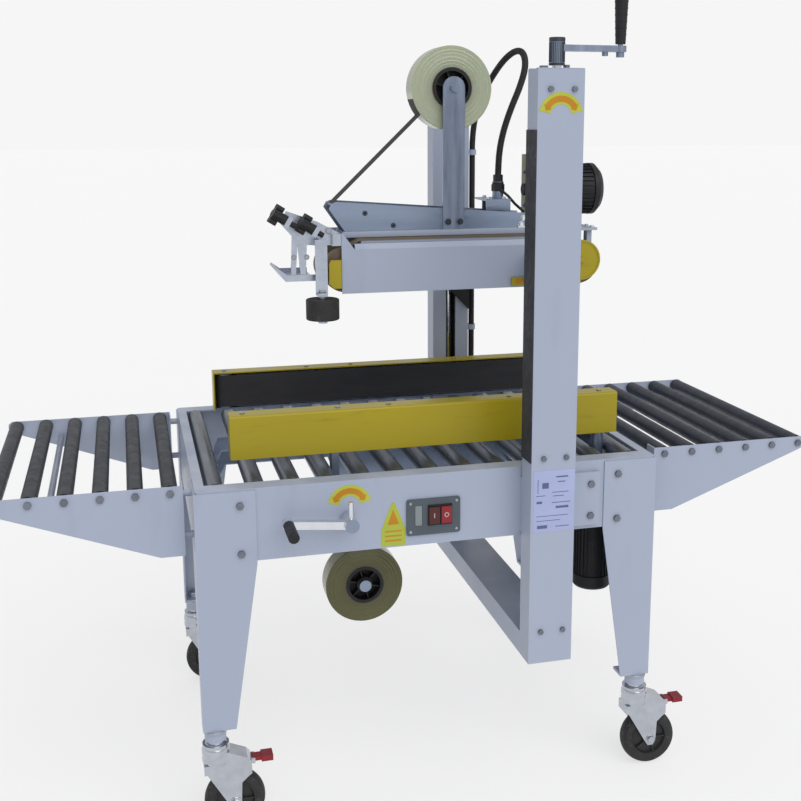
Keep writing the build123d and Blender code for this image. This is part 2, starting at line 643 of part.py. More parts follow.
head_ski.part.label = "head_ski"
export_step(head_ski.part, "parts/head_ski.step")

with BuildPart() as press_roller:
    rod_z(PRESS_X, -98, 1018, 1063, 36)
    rod_z(PRESS_X, -98, 1010, 1070, 6.08, Mode.SUBTRACT)
    fillet(press_roller.edges().filter_by(GeomType.CIRCLE).sort_by(SortBy.RADIUS)[-2:], 3)
press_roller.part.label = "press_roller"
export_step(press_roller.part, "parts/press_roller.step")


def knob(p):
    with BuildSketch(knob_plane(p).offset(16)) as lobes:
        Circle(17)
        with PolarLocations(18, 6):
            Circle(6)
    extrude(to_extrude=lobes.sketch, amount=17)
    with BuildSketch(knob_plane(p).offset(1)) as neck:
        Circle(11)
    extrude(to_extrude=neck.sketch, amount=15)
    with BuildSketch(knob_plane(p).offset(-24)) as stud:
        Circle(6)
    extrude(to_extrude=stud.sketch, amount=25)


with BuildPart() as star_knob_a:
    knob(KNOB_A)
star_knob_a.part.label = "star_knob_a"
export_step(star_knob_a.part, "parts/star_knob_a.step")

with BuildPart() as star_knob_b:
    knob(KNOB_B)
star_knob_b.part.label = "star_knob_b"
export_step(star_knob_b.part, "parts/star_knob_b.step")

# ---- motor of the top belts ----
with BuildPart() as top_motor:
    slab(345, 353, 8, 132, SHELF_Z + 6, 1361)
    rod_x(70, 1280, 353, 392, 48)
    rod_x(70, 1280, 392, 488, 56)
    rod_x(70, 1280, 488, 512, 61)
    chamfer(top_motor.edges().group_by(Axis.X)[-1], 12)
    rod_x(70, 1280, 325, 345, 14)
top_motor.part.label = "top_motor"
export_step(top_motor.part, "parts/top_motor.step")

# ---- height crank and lead screws ----
with BuildPart() as height_crank:
    rod_z(SCREW_X, -SCREW_Y, 1545, 1597, 15)
    with BuildSketch(Plane.XY.offset(1572)) as arm_outline:
        with BuildLine():
            y = -SCREW_Y + YC
            Polyline((230, y - 13), (362, y - 8), (362, y + 8), (230, y + 13), close=True)
        make_face()
        with Locations((362, -SCREW_Y + YC)):
            Circle(12)
    extrude(to_extrude=arm_outline.sketch, amount=12)
    rod_z(362, -SCREW_Y, 1562, 1572, 8)
    rod_z(330, -SCREW_Y, 1564, 1572, 6)
    rod_z(362, -SCREW_Y, 1584, 1690, 5)
height_crank.part.label = "height_crank"
export_step(height_crank.part, "parts/height_crank.step")

with BuildPart() as crank_grip:
    with Locations((362, -SCREW_Y + YC, 1641)):
        Cone(10, 14, 108)
    rod_z(362, -SCREW_Y, 1584, 1692, 5.08, Mode.SUBTRACT)
    fillet(crank_grip.edges().group_by(Axis.Z)[-1], 5)
crank_grip.part.label = "crank_grip"
export_step(crank_grip.part, "parts/crank_grip.step")


def lead_screw(s, top):
    rod_z(SCREW_X, s * SCREW_Y, 321, top, SCREW_R)
    rod_z(SCREW_X, s * SCREW_Y, 336, 342, 22)
    rod_z(SCREW_X, s * SCREW_Y, 342, 354, 14)


with BuildPart() as front_lead_screw:
    lead_screw(-1, 1545)
front_lead_screw.part.label = "front_lead_screw"
export_step(front_lead_screw.part, "parts/front_lead_screw.step")

with BuildPart() as rear_lead_screw:
    lead_screw(1, 1544)
rear_lead_screw.part.label = "rear_lead_screw"
export_step(rear_lead_screw.part, "parts/rear_lead_screw.step")

# ---- cable conduit: up the rear column from its junction box, then a free loop over to the head's gland ----
CONDUIT_R = 8.0
CONDUIT_ROUTE = [
    (290, 366, 760),
    (290, 366, 1398),
    (294, 352, 1456),
    (305, 324, 1509),
    (320, 286, 1554),
    (334, 242, 1590),
    (345, 191, 1608),
    (347, 139, 1601),
    (339, 98, 1567),
    (317, 74, 1519),
    (290, 65, 1465),
    (270, 62, 1409),
    (260, 60, 1352),
    (260, 60, 1300),
]


def bend_radii(points):
    # each bend is as large as its two runs leave room for
    corners = [Vector(*p) for p in points]
    radii = []
    for before, corner, after in zip(corners, corners[1:], corners[2:]):
        run_in = corner - before
        run_out = after - corner
        half_turn = math.radians(run_in.get_angle(run_out) / 2)
        radii.append(0.45 * min(run_in.length, run_out.length) / math.tan(half_turn))
    return radii


conduit_points = [(p[0], p[1] + YC, p[2]) for p in CONDUIT_ROUTE]
conduit_radii = bend_radii(conduit_points)
print("conduit bend radii:", [round(r) for r in conduit_radii])
with BuildPart() as conduit:
    with BuildLine() as conduit_path:
        FilletPolyline(*conduit_points, radius=conduit_radii)
    with BuildSketch(Plane(origin=conduit_points[0], z_dir=(0, 0, 1))):
        Circle(CONDUIT_R)
    sweep()
conduit_length = conduit_path.wire().length
print("conduit length and volume over section:", conduit_length, conduit.part.volume / (math.pi * CONDUIT_R**2))
conduit.part.label = "conduit"
export_step(conduit.part, "parts/conduit.step")


# ---- casters ----
def caster_fork(sx, sy):
    cx = sx * CASTER_X
    cy = sy * CASTER_Y
    wheel = cx + WHEEL_OFF
    rod_z(cx, cy, 148, 192, 27)
    rod_z(cx, cy, 191, 200, 18)
    hood = [(cx - 26, 150), (cx - 26, 130), (cx + 66, 130), (cx + 70, 136), (cx + 70, 150), (cx + 62, 158)]
    hood += [(cx + 16, 178), (cx + 8, 178), (cx + 8, 150)]
    plate_xz(hood, cy - 22, cy + 22)
    cheek = [(cx - 26, 140), (cx + 70, 140), (cx + 70, 122), (cx + 62, 116), (wheel + 14, 104), (wheel + 12, 58)]
    cheek += [(wheel + 6, 48), (wheel - 6, 48), (wheel - 13, 58)]
    plate_xz(cheek, cy - 22, cy - 18)
    plate_xz(cheek, cy + 18, cy + 22)
    rod_y(wheel, WHEEL_R, cy - 27, cy + 27, 6)
    for y0, y1 in ((-14, -11), (11, 14)):
        slab(cx + 69, cx + PEDAL_OFF + 3, cy + y0, cy + y1, 139, 150)


def caster_wheel(sx, sy):
    wheel = sx * CASTER_X + WHEEL_OFF
    cy = sy * CASTER_Y
    rod_y(wheel, WHEEL_R, cy - 14, cy + 14, WHEEL_R)
    rod_y(wheel, WHEEL_R, cy - 17, cy + 17, 18)
    rod_y(wheel, WHEEL_R, cy - 20, cy + 20, 6.08, Mode.SUBTRACT)


def caster_pedal(sx, sy):
    px = sx * CASTER_X + PEDAL_OFF
    cy = sy * CASTER_Y
    rod_y(px, PEDAL_Z, cy - 10.5, cy + 10.5, 4)
    slab(px, px + 40, cy - 10.5, cy + 10.5, PEDAL_Z - 4, PEDAL_Z + 4)
    slab(px + 16, px + 40, cy - 14, cy + 14, PEDAL_Z - 6, PEDAL_Z + 6)


with BuildPart() as caster_fork_fl:
    caster_fork(-1, -1)
caster_fork_fl.part.label = "caster_fork_fl"
export_step(caster_fork_fl.part, "parts/caster_fork_fl.step")

with BuildPart() as caster_fork_fr:
    caster_fork(1, -1)
caster_fork_fr.part.label = "caster_fork_fr"
export_step(caster_fork_fr.part, "parts/caster_fork_fr.step")

with BuildPart() as caster_fork_rl:
    caster_fork(-1, 1)
caster_fork_rl.part.label = "caster_fork_rl"
export_step(caster_fork_rl.part, "parts/caster_fork_rl.step")

with BuildPart() as caster_fork_rr:
    caster_fork(1, 1)
caster_fork_rr.part.label = "caster_fork_rr"
export_step(caster_fork_rr.part, "parts/caster_fork_rr.step")

with BuildPart() as caster_wheel_fl:
    caster_wheel(-1, -1)
caster_wheel_fl.part.label = "caster_wheel_fl"
export_step(caster_wheel_fl.part, "parts/caster_wheel_fl.step")

with BuildPart() as caster_wheel_fr:
    caster_wheel(1, -1)
caster_wheel_fr.part.label = "caster_wheel_fr"
export_step(caster_wheel_fr.part, "parts/caster_wheel_fr.step")

with BuildPart() as caster_wheel_rl:
    caster_wheel(-1, 1)
caster_wheel_rl.part.label = "caster_wheel_rl"
export_step(caster_wheel_rl.part, "parts/caster_wheel_rl.step")

with BuildPart() as caster_wheel_rr:
    caster_wheel(1, 1)
caster_wheel_rr.part.label = "caster_wheel_rr"
export_step(caster_wheel_rr.part, "parts/caster_wheel_rr.step")

with BuildPart() as caster_pedal_fl:
    caster_pedal(-1, -1)
caster_pedal_fl.part.label = "caster_pedal_fl"
export_step(caster_pedal_fl.part, "parts/caster_pedal_fl.step")

with BuildPart() as caster_pedal_fr:
    caster_pedal(1, -1)
caster_pedal_fr.part.label = "caster_pedal_fr"
export_step(caster_pedal_fr.part, "parts/caster_pedal_fr.step")
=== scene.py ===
import math

import bmesh
import bpy
from mathutils import Matrix, Vector


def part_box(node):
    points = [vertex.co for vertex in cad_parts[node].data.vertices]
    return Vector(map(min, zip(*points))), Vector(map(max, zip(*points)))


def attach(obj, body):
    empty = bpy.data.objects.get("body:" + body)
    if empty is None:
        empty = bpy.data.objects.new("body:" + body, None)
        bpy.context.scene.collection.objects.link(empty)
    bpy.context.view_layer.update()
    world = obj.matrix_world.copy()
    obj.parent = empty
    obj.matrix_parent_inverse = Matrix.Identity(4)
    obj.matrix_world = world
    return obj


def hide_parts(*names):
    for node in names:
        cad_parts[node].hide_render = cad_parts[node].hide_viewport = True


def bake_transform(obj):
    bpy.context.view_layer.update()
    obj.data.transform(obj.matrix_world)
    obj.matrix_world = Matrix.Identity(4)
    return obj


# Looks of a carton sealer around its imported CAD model. Metres, X along the carton's way, -Y the operator's side.

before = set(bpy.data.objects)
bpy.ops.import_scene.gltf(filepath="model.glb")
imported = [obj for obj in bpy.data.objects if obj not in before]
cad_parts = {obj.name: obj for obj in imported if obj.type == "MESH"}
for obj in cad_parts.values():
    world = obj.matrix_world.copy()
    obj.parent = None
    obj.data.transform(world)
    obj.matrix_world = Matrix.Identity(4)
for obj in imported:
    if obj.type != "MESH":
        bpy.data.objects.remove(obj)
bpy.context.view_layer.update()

AXES = {"x": Vector((1, 0, 0)), "y": Vector((0, 1, 0)), "z": Vector((0, 0, 1))}
MIDDLE_Y = (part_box("bed_side_front")[0].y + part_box("bed_side_rear")[1].y) / 2


# measures of the machine that the boxes of whole nodes do not give; across it, they count from MIDDLE_Y
COLUMN_INNER = 0.356
COLUMN_OUTER = 0.412
SLOT_Z = (0.755, 1.423)
SCREW_X, SCREW_Y = 0.230, 0.384
MOTOR_X, MOTOR_Y = 0.408, 0.208
TOP_MOTOR_Y, TOP_MOTOR_Z = 0.070, 1.280
CAP_X, CAP_Z, CAP_Y = 0.415, 1.127, 0.086
SHORT_ROLLERS = 12
SHORT_PITCH = 0.0737
PLATE_Y = 0.038


def middle(node):
    low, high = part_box(node)
    return (low + high) / 2


# ---- shapes: solids gathered in one mesh, which becomes a piece ----
class Shape:
    def __init__(self):
        self.mesh = bmesh.new()

    def box(self, low, high, bevel=0.0):
        low, high = Vector(low), Vector(high)
        size = high - low
        place = Matrix.Translation((low + high) / 2) @ Matrix.Diagonal((*[abs(s) for s in size], 1))
        made = bmesh.ops.create_cube(self.mesh, size=1, matrix=place)
        if bevel:
            edges = {e for v in made["verts"] for e in v.link_edges}
            bmesh.ops.bevel(self.mesh, geom=list(edges), offset=bevel, segments=2, affect="EDGES", profile=0.6)
        return self

    def lathe(self, profile, centre, axis, steps=48):
        # profile: (radius, height) from one end to the other, turned about an axis through centre
        along = AXES[axis] if isinstance(axis, str) else Vector(axis).normalized()
        side = along.orthogonal().normalized()
        other = along.cross(side)
        rings = []
        for radius, height in profile:
            base = Vector(centre) + along * height
            if radius < 1e-7:
                rings.append([self.mesh.verts.new(base)])
                continue
            turn = [2 * math.pi * i / steps for i in range(steps)]
            ring = [base + (side * math.cos(a) + other * math.sin(a)) * radius for a in turn]
            rings.append([self.mesh.verts.new(p) for p in ring])
        for a, b in zip(rings, rings[1:]):
            for i in range(steps):
                j = (i + 1) % steps
                corners = [a[i % len(a)], a[j % len(a)], b[j % len(b)], b[i % len(b)]]
                corners = list(dict.fromkeys(corners))
                if len(corners) > 2:
                    self.mesh.faces.new(corners)
        return self

    def ring(self, inner, outer, start, end, centre, axis, steps=48, edge=0.0004):
        # a washer-like turned ring with softened outer edges
        corners = [(inner, start), (outer - edge, start), (outer, start + edge), (outer, end - edge)]
        corners += [(outer - edge, end), (inner, end), (inner, start)]
        self.lathe(corners, centre, axis, steps)
        bmesh.ops.remove_doubles(self.mesh, verts=self.mesh.verts, dist=1e-7)
        return self

    def disc(self, radius, start, end, centre, axis, steps=32, edge=0.0005):
        profile = [(0, start), (radius - edge, start), (radius, start + edge), (radius, end - edge)]
        profile += [(radius - edge, end), (0, end)]
        return self.lathe(profile, centre, axis, steps)

    def screw(self, point, axis, radius=0.006, height=0.004, sides=6):
        # a bolt head with a washer, standing along axis from point
        along = AXES[axis] if isinstance(axis, str) else Vector(axis).normalized()
        self.disc(radius * 1.35, 0, height * 0.25, point, along, 24, height * 0.08)
        self.disc(radius, height * 0.25, height, point, along, sides, height * 0.15)
        return self

    def prism(self, outline, start, end, axis="y"):
        # an outline in the two other axes (in x, y, z order), drawn out along axis
        def place(u, v, w):
            return {"x": (w, u, v), "y": (u, w, v), "z": (u, v, w)}[axis]

        near = [self.mesh.verts.new(place(u, v, start)) for u, v in outline]
        far = [self.mesh.verts.new(place(u, v, end)) for u, v in outline]
        self.mesh.faces.new(near)
        self.mesh.faces.new(list(reversed(far)))
        for i in range(len(outline)):
            j = (i + 1) % len(outline)
            self.mesh.faces.new([near[i], far[i], far[j], near[j]])
        return self

    def strip(self, line, low_y, high_y, thickness):
        # a thin band that follows a line of (x, z) points and spans y
        count = len(line)
        rows = []
        for i, (x, z) in enumerate(line):
            before, after = line[max(i - 1, 0)], line[min(i + 1, count - 1)]
            run = Vector((after[0] - before[0], after[1] - before[1])).normalized()
            off = Vector((-run.y, run.x)) * thickness
            corners = [(x, low_y, z), (x, high_y, z), (x + off.x, high_y, z + off.y), (x + off.x, low_y, z + off.y)]
            rows.append([self.mesh.verts.new(c) for c in corners])
        for a, b in zip(rows, rows[1:]):
            for i in range(4):
                j = (i + 1) % 4
                self.mesh.faces.new([a[i], a[j], b[j], b[i]])
        self.mesh.faces.new(rows[0])
        self.mesh.faces.new(list(reversed(rows[-1])))
        return self

    def sweep(self, points, radius_at, sides=16):
        # a closed tube along points; radius_at gives the radius at each of them
        run = (points[1] - points[0]).normalized()
        side = run.orthogonal().normalized()
        rings = []
        for i, point in enumerate(points):
            ahead = points[min(i + 1, len(points) - 1)] - points[max(i - 1, 0)]
            step = ahead.normalized()
            side = (side - step * side.dot(step)).normalized()
            other = step.cross(side)
            turn = [2 * math.pi * k / sides for k in range(sides)]
            spread = radius_at(i)
            ring = [point + (side * math.cos(a) + other * math.sin(a)) * spread for a in turn]
            rings.append([self.mesh.verts.new(p) for p in ring])
        for a, b in zip(rings, rings[1:]):
            for i in range(sides):
                j = (i + 1) % sides
                self.mesh.faces.new([a[i], a[j], b[j], b[i]])
        self.mesh.faces.new(rings[0])
        self.mesh.faces.new(list(reversed(rings[-1])))
        return self

    def piece(self, name, material, body=None, slot=None, smooth=35, origin=None):
        bmesh.ops.recalc_face_normals(self.mesh, faces=self.mesh.faces)
        origin = Vector(origin) if origin else Vector()
        bmesh.ops.translate(self.mesh, verts=self.mesh.verts, vec=-origin)
        data = bpy.data.meshes.new(name)
        self.mesh.to_mesh(data)
        self.mesh.free()
        for face in data.polygons:
            face.use_smooth = True
        data.set_sharp_from_angle(angle=math.radians(smooth))
        data.materials.append(material)
        made = bpy.data.objects.new(name, data)
        made.location = origin
        bpy.context.scene.collection.objects.link(made)
        if body:
            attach(made, body)
        return made


# ---- materials ----
class Paint:
    """A procedural material: colour varied by stretched noise, fine bump, uneven roughness."""

    def __init__(self, name, colour, second, mix=0.5, size=5.0, stretch=(1, 1, 1), rough=(0.35, 0.5), metallic=0.0):
        self.material = bpy.data.materials.new(name)
        self.material.use_nodes = True
        self.nodes = self.material.node_tree.nodes
        self.links = self.material.node_tree.links
        self.shader = self.nodes["Principled BSDF"]
        self.shader.inputs["Metallic"].default_value = metallic
        self.coordinates = self.nodes.new("ShaderNodeTexCoord").outputs["Object"]
        pattern = self.noise(size, 6, stretch)
        self.colour = self.mix(self.spread(pattern, 0.35, 0.65, 0, mix), colour, second)
        self.link(self.colour, self.shader.inputs["Base Color"])
        uneven = self.noise(size * 2.7, 4, stretch)
        self.link(self.spread(uneven, 0.3, 0.7, *rough), self.shader.inputs["Roughness"])

    def link(self, source, target):
        self.links.new(source, target)

    def mapped(self, stretch):
        mapping = self.nodes.new("ShaderNodeMapping")
        mapping.inputs["Scale"].default_value = stretch
        self.link(self.coordinates, mapping.inputs["Vector"])
        return mapping.outputs["Vector"]

    def noise(self, size, detail=4, stretch=(1, 1, 1)):
        node = self.nodes.new("ShaderNodeTexNoise")
        node.inputs["Scale"].default_value = size
        node.inputs["Detail"].default_value = detail
        self.link(self.mapped(stretch), node.inputs["Vector"])
        return node.outputs["Fac"]

    def spread(self, value, low, high, new_low, new_high):
        node = self.nodes.new("ShaderNodeMapRange")
        for socket, number in zip(("From Min", "From Max", "To Min", "To Max"), (low, high, new_low, new_high)):
            node.inputs[socket].default_value = number
        self.link(value, node.inputs["Value"])
        return node.outputs["Result"]

    def mix(self, factor, first, second):
        node = self.nodes.new("ShaderNodeMix")
        node.data_type = "RGBA"
        self.link(factor, node.inputs["Factor"])
        inputs = [s for s in node.inputs if s.type == "RGBA"]
        for socket, colour in zip(inputs, (first, second)):
            if isinstance(colour, tuple):
                socket.default_value = (*colour, 1)
            else:
                self.link(colour, socket)
        return [s for s in node.outputs if s.type == "RGBA"][0]

    def bump(self, height, strength, distance):
        node = self.nodes.new("ShaderNodeBump")
        node.inputs["Strength"].default_value = strength
        node.inputs["Distance"].default_value = distance
        self.link(height, node.inputs["Height"])
        self.link(node.outputs["Normal"], self.shader.inputs["Normal"])
        return self

    def tint(self, factor, colour):
        # lays another colour over what is there
        self.colour = self.mix(factor, self.colour, colour)
        self.link(self.colour, self.shader.inputs["Base Color"])
        return self

    def set(self, **values):
        for socket, value in values.items():
            self.shader.inputs[socket.replace("_", " ")].default_value = value
        return self

    def facing_up(self, low=0.2, high=0.9):
        # how far a surface faces up, for the dust that settles on it
        geometry = self.nodes.new("ShaderNodeNewGeometry")
        split = self.nodes.new("ShaderNodeSeparateXYZ")
        self.link(geometry.outputs["Normal"], split.inputs["Vector"])
        return self.spread(split.outputs["Z"], low, high, 0, 1)

    def times(self, first, second):
        node = self.nodes.new("ShaderNodeMath")
        node.operation = "MULTIPLY"
        for socket, value in zip(node.inputs, (first, second)):
            if isinstance(value, (int, float)):
                socket.default_value = value
            else:
                self.link(value, socket)
        return node.outputs[0]

    def rings(self, axis, spacing):
        # waves of distance from the object's own axis, as on the side of a wound roll
        split = self.nodes.new("ShaderNodeSeparateXYZ")
        self.link(self.coordinates, split.inputs["Vector"])
        names = [n for n in "XYZ" if n != axis.upper()]
        squares = [self.times(split.outputs[n], split.outputs[n]) for n in names]
        add = self.nodes.new("ShaderNodeMath")
        add.operation = "ADD"
        self.link(squares[0], add.inputs[0])
        self.link(squares[1], add.inputs[1])
        root = self.nodes.new("ShaderNodeMath")
        root.operation = "SQRT"
        self.link(add.outputs[0], root.inputs[0])
        noise = self.nodes.new("ShaderNodeTexNoise")
        noise.noise_dimensions = "1D"
        noise.inputs["Scale"].default_value = 1 / spacing
        noise.inputs["Detail"].default_value = 3
        self.link(root.outputs[0], noise.inputs["W"])
        return noise.outputs["Fac"], root.outputs[0]


def powder_coat(name, colour, second):
    paint = Paint(name, colour, second, mix=0.55, size=2.2, stretch=(1, 1, 0.45), rough=(0.34, 0.48))
    dirt = paint.spread(paint.noise(14, 8, (1, 1, 0.25)), 0.58, 0.8, 0, 0.35)
    paint.tint(dirt, tuple(c * 0.72 for c in colour))
    paint.tint(paint.times(paint.facing_up(), paint.spread(paint.noise(9), 0.4, 0.7, 0, 0.25)), (0.78, 0.80, 0.84))
    paint.bump(paint.noise(900, 2), 0.18, 0.0004)
    return paint.set(Coat_Weight=0.05, Coat_Roughness=0.25, Specular_IOR_Level=0.4).material


def gloss_paint(name, colour, second):
    paint = Paint(name, colour, second, mix=0.6, size=3.0, stretch=(0.6, 1, 1), rough=(0.26, 0.4))
    scuffs = paint.spread(paint.noise(60, 8, (0.15, 1, 1)), 0.62, 0.78, 0, 0.5)
    paint.tint(scuffs, tuple(c * 0.6 for c in colour))
    paint.bump(paint.noise(700, 2), 0.12, 0.0004)
    return paint.set(Coat_Weight=0.08, Coat_Roughness=0.15, Specular_IOR_Level=0.3).material


def brushed_metal(name, colour, second, stretch, rough=(0.26, 0.42), strength=0.25):
    paint = Paint(name, colour, second, mix=0.8, size=30, stretch=stretch, rough=rough, metallic=0.85)
    stains = paint.spread(paint.noise(11, 6), 0.55, 0.8, 0, 0.45)
    paint.tint(stains, tuple(c * 0.55 for c in colour))
    paint.bump(paint.noise(220, 3, stretch), strength, 0.0003)
    return paint.material


def plain_metal(name, colour, second, rough=(0.2, 0.34)):
    paint = Paint(name, colour, second, mix=0.6, size=40, rough=rough, metallic=0.9)
    paint.bump(paint.noise(500, 3), 0.12, 0.0003)
    return paint.material


def moulded_plastic(name, colour, second, rough=(0.38, 0.55), strength=0.2):
    paint = Paint(name, colour, second, mix=0.6, size=18, rough=rough)
    settled = paint.times(paint.facing_up(0.3, 1.0), paint.spread(paint.noise(35, 6), 0.5, 0.8, 0, 0.1))
    paint.tint(settled, (0.2, 0.2, 0.21))
    paint.bump(paint.noise(1100, 2), strength, 0.0003)
    return paint.set(Specular_IOR_Level=0.35).material


def rubber(name, colour, second):
    paint = Paint(name, colour, second, mix=0.8, size=24, rough=(0.6, 0.8))
    paint.tint(paint.spread(paint.noise(90, 6), 0.6, 0.8, 0, 0.3), (0.2, 0.19, 0.18))
    paint.bump(paint.noise(700, 4), 0.35, 0.0006)
    return paint.material


def belt_cloth(name, colour, second):
    # woven-backed belt: a fine diamond grip from two crossed waves, and scuffing along its run
    paint = Paint(name, colour, second, mix=0.8, size=16, stretch=(0.3, 1, 1.4), rough=(0.5, 0.68))
    waves = []
    for tilt in (-0.8, 0.8):
        wave = paint.nodes.new("ShaderNodeTexWave")
        wave.inputs["Scale"].default_value = 120
        mapping = paint.nodes.new("ShaderNodeMapping")
        mapping.inputs["Rotation"].default_value = (0, tilt, 0)
        paint.link(paint.coordinates, mapping.inputs["Vector"])
        paint.link(mapping.outputs["Vector"], wave.inputs["Vector"])
        waves.append(wave.outputs["Fac"])
    paint.bump(paint.times(*waves), 0.4, 0.0006)
    return paint.material


def wound_tape(name, colour, second, core):
    paint = Paint(name, colour, second, mix=0.5, size=9, rough=(0.16, 0.3))
    layers, radius = paint.rings("y", 0.0011)
    paint.tint(paint.spread(layers, 0.42, 0.62, 0, 0.4), tuple(c * 0.78 for c in colour))
    paint.tint(paint.spread(radius, core, core + 0.02, 0.5, 0), tuple(c * 0.55 for c in colour))
    paint.bump(layers, 0.35, 0.0005)
    paint.set(Subsurface_Weight=0.25, Subsurface_Scale=0.01, Coat_Weight=0.25, Coat_Roughness=0.15)
    return paint.material


def cardboard(name):
    colours = ((0.42, 0.31, 0.19), (0.30, 0.21, 0.12))
    paint = Paint(name, *colours, mix=0.8, size=60, stretch=(1, 0.2, 1), rough=(0.7, 0.85))
    return paint.bump(paint.noise(500, 4), 0.4, 0.0004).material


def vinyl(name, colour, second, rough=(0.3, 0.42)):
    paint = Paint(name, colour, second, mix=0.5, size=25, rough=rough)
    paint.set(Specular_IOR_Level=0.3)
    return paint.bump(paint.noise(400, 2), 0.1, 0.0002).material


BODY = powder_coat("body_paint", (0.325, 0.37, 0.475), (0.36, 0.40, 0.495))
YELLOW = gloss_paint("guard_yellow", (0.36, 0.285, 0.006), (0.30, 0.245, 0.012))
# the guards' yellow paint darkened by painted shade, for the plate beside the top motor
YELLOW_IN_SHADE = gloss_paint("motor_plate_yellow_in_shade", (0.16, 0.16, 0.075), (0.12, 0.125, 0.065))
CHARCOAL = moulded_plastic("roller_charcoal", (0.018, 0.022, 0.030), (0.028, 0.032, 0.042), rough=(0.4, 0.55))
GREY_ROLLER = moulded_plastic("roller_grey", (0.024, 0.030, 0.044), (0.038, 0.045, 0.062), rough=(0.4, 0.55))
ZINC_ROLLER = brushed_metal("roller_zinc", (0.20, 0.225, 0.26), (0.12, 0.13, 0.155), (1, 0.1, 1))
STEEL = brushed_metal("steel_plate", (0.27, 0.325, 0.43), (0.21, 0.26, 0.35), (0.12, 1, 1))
SKI_STEEL = plain_metal("ski_steel", (0.46, 0.50, 0.58), (0.36, 0.40, 0.47))
ARM_STEEL = brushed_metal("arm_steel", (0.27, 0.32, 0.41), (0.21, 0.25, 0.33), (1, 1, 0.12))
CHROME = plain_metal("chrome", (0.72, 0.74, 0.78), (0.60, 0.62, 0.66), rough=(0.10, 0.20))
FORK_ZINC = plain_metal("fork_zinc", (0.50, 0.53, 0.58), (0.40, 0.42, 0.47), rough=(0.12, 0.24))
ZINC = plain_metal("zinc_bolt", (0.38, 0.41, 0.46), (0.28, 0.30, 0.34))
FRAME_BOLT = plain_metal("frame_bolt", (0.20, 0.22, 0.26), (0.12, 0.13, 0.16), rough=(0.25, 0.4))
DARK_BOLT = plain_metal("dark_bolt", (0.07, 0.08, 0.10), (0.04, 0.045, 0.06), rough=(0.3, 0.45))
BLACK = moulded_plastic("black_plastic", (0.008, 0.008, 0.010), (0.016, 0.016, 0.019), rough=(0.45, 0.6))
MOTOR = moulded_plastic("motor_black", (0.010, 0.010, 0.012), (0.018, 0.018, 0.022), rough=(0.45, 0.62), strength=0.4)
BELT = belt_cloth("belt_rubber", (0.010, 0.010, 0.013), (0.018, 0.018, 0.023))
TOP_BELT = belt_cloth("top_belt_rubber", (0.13, 0.095, 0.055), (0.09, 0.065, 0.035))
TYRE = rubber("caster_tyre", (0.010, 0.010, 0.011), (0.018, 0.018, 0.019))
# black rubber for the slot lips; the same material makes the black sheets of painted shade in and beside the columns
SLOT_SEAL_AND_SHADE = rubber("slot_seal_and_shade", (0.014, 0.016, 0.022), (0.03, 0.033, 0.04))
RED = moulded_plastic("red_plastic", (0.24, 0.014, 0.022), (0.18, 0.010, 0.016), rough=(0.35, 0.45))
RIM = moulded_plastic("wheel_rim", (0.014, 0.014, 0.015), (0.022, 0.022, 0.023))
SWITCH_GREY = moulded_plastic("switch_grey", (0.072, 0.090, 0.108), (0.060, 0.075, 0.090), strength=0.12)
BUTTON_DARK = moulded_plastic("button_dark", (0.075, 0.016, 0.014), (0.050, 0.012, 0.010), rough=(0.3, 0.4))
LENS = moulded_plastic("indicator_lens", (0.20, 0.23, 0.24), (0.16, 0.19, 0.20), rough=(0.1, 0.2), strength=0.05)
CLEAR_TAPE = wound_tape("tape_clear", (0.37, 0.405, 0.285), (0.32, 0.35, 0.25), 0.046)
OLIVE_TAPE = wound_tape("tape_olive", (0.095, 0.092, 0.018), (0.068, 0.067, 0.015), 0.046)
WEB = vinyl("tape_web", (0.032, 0.031, 0.034), (0.022, 0.021, 0.024), rough=(0.6, 0.75))
CORE = cardboard("tape_core")
LABEL_YELLOW = vinyl("label_yellow", (0.42, 0.46, 0.05), (0.36, 0.40, 0.05))
LABEL_ORANGE = vinyl("label_orange", (0.48, 0.21, 0.01), (0.40, 0.16, 0.01))
LABEL_LIME = vinyl("label_lime", (0.38, 0.43, 0.05), (0.32, 0.37, 0.05))
LABEL_PALE = vinyl("label_pale", (0.36, 0.40, 0.62), (0.32, 0.36, 0.56))
LABEL_INK = vinyl("label_ink", (0.10, 0.12, 0.24), (0.08, 0.10, 0.2))
MARK_WHITE = vinyl("mark_white", (0.42, 0.42, 0.42), (0.34, 0.34, 0.34))

NODE_LOOKS = {
    BODY: ["bed_side_front", "bed_side_rear", "bed_end_infeed", "bed_end_outfeed", "leg_front_infeed"],
    YELLOW: ["front_belt_guard", "rear_belt_guard", "belt_end_caps"],
    CHARCOAL: ["infeed_rollers"],
    GREY_ROLLER: ["outfeed_rollers"],
    ZINC_ROLLER: ["bed_rollers"],
    STEEL: ["lower_head_frame", "tape_head"],
    SKI_STEEL: ["head_ski"],
    ARM_STEEL: ["roll_arm", "height_crank", "front_belt_drive", "rear_belt_drive"],
    CHROME: ["guide_rod", "front_lead_screw", "rear_lead_screw", "width_crank"],
    FORK_ZINC: ["caster_fork_fl", "caster_fork_fr", "caster_fork_rl", "caster_fork_rr"],
    FRAME_BOLT: ["frame_bolts"],
    BLACK: ["crank_grip", "width_grip", "star_knob_a", "star_knob_b"],
    MOTOR: ["top_motor"],
    BELT: ["front_belt", "rear_belt"],
    TOP_BELT: ["top_belt"],
    TYRE: ["press_roller"],
    RED: ["caster_pedal_fl", "caster_pedal_fr", "stop_button"],
    SWITCH_GREY: ["switch_box"],
    BUTTON_DARK: ["start_button"],
}
NODE_LOOKS[BODY] += ["leg_front_outfeed", "leg_rear_infeed", "leg_rear_outfeed", "front_column", "rear_column"]
NODE_LOOKS[BODY] += ["cross_channel", "infeed_table", "outfeed_table", "head_tray", "head_carriage"]


def dress(node, material):
    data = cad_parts[node].data
    data.materials.clear()
    data.materials.append(material)


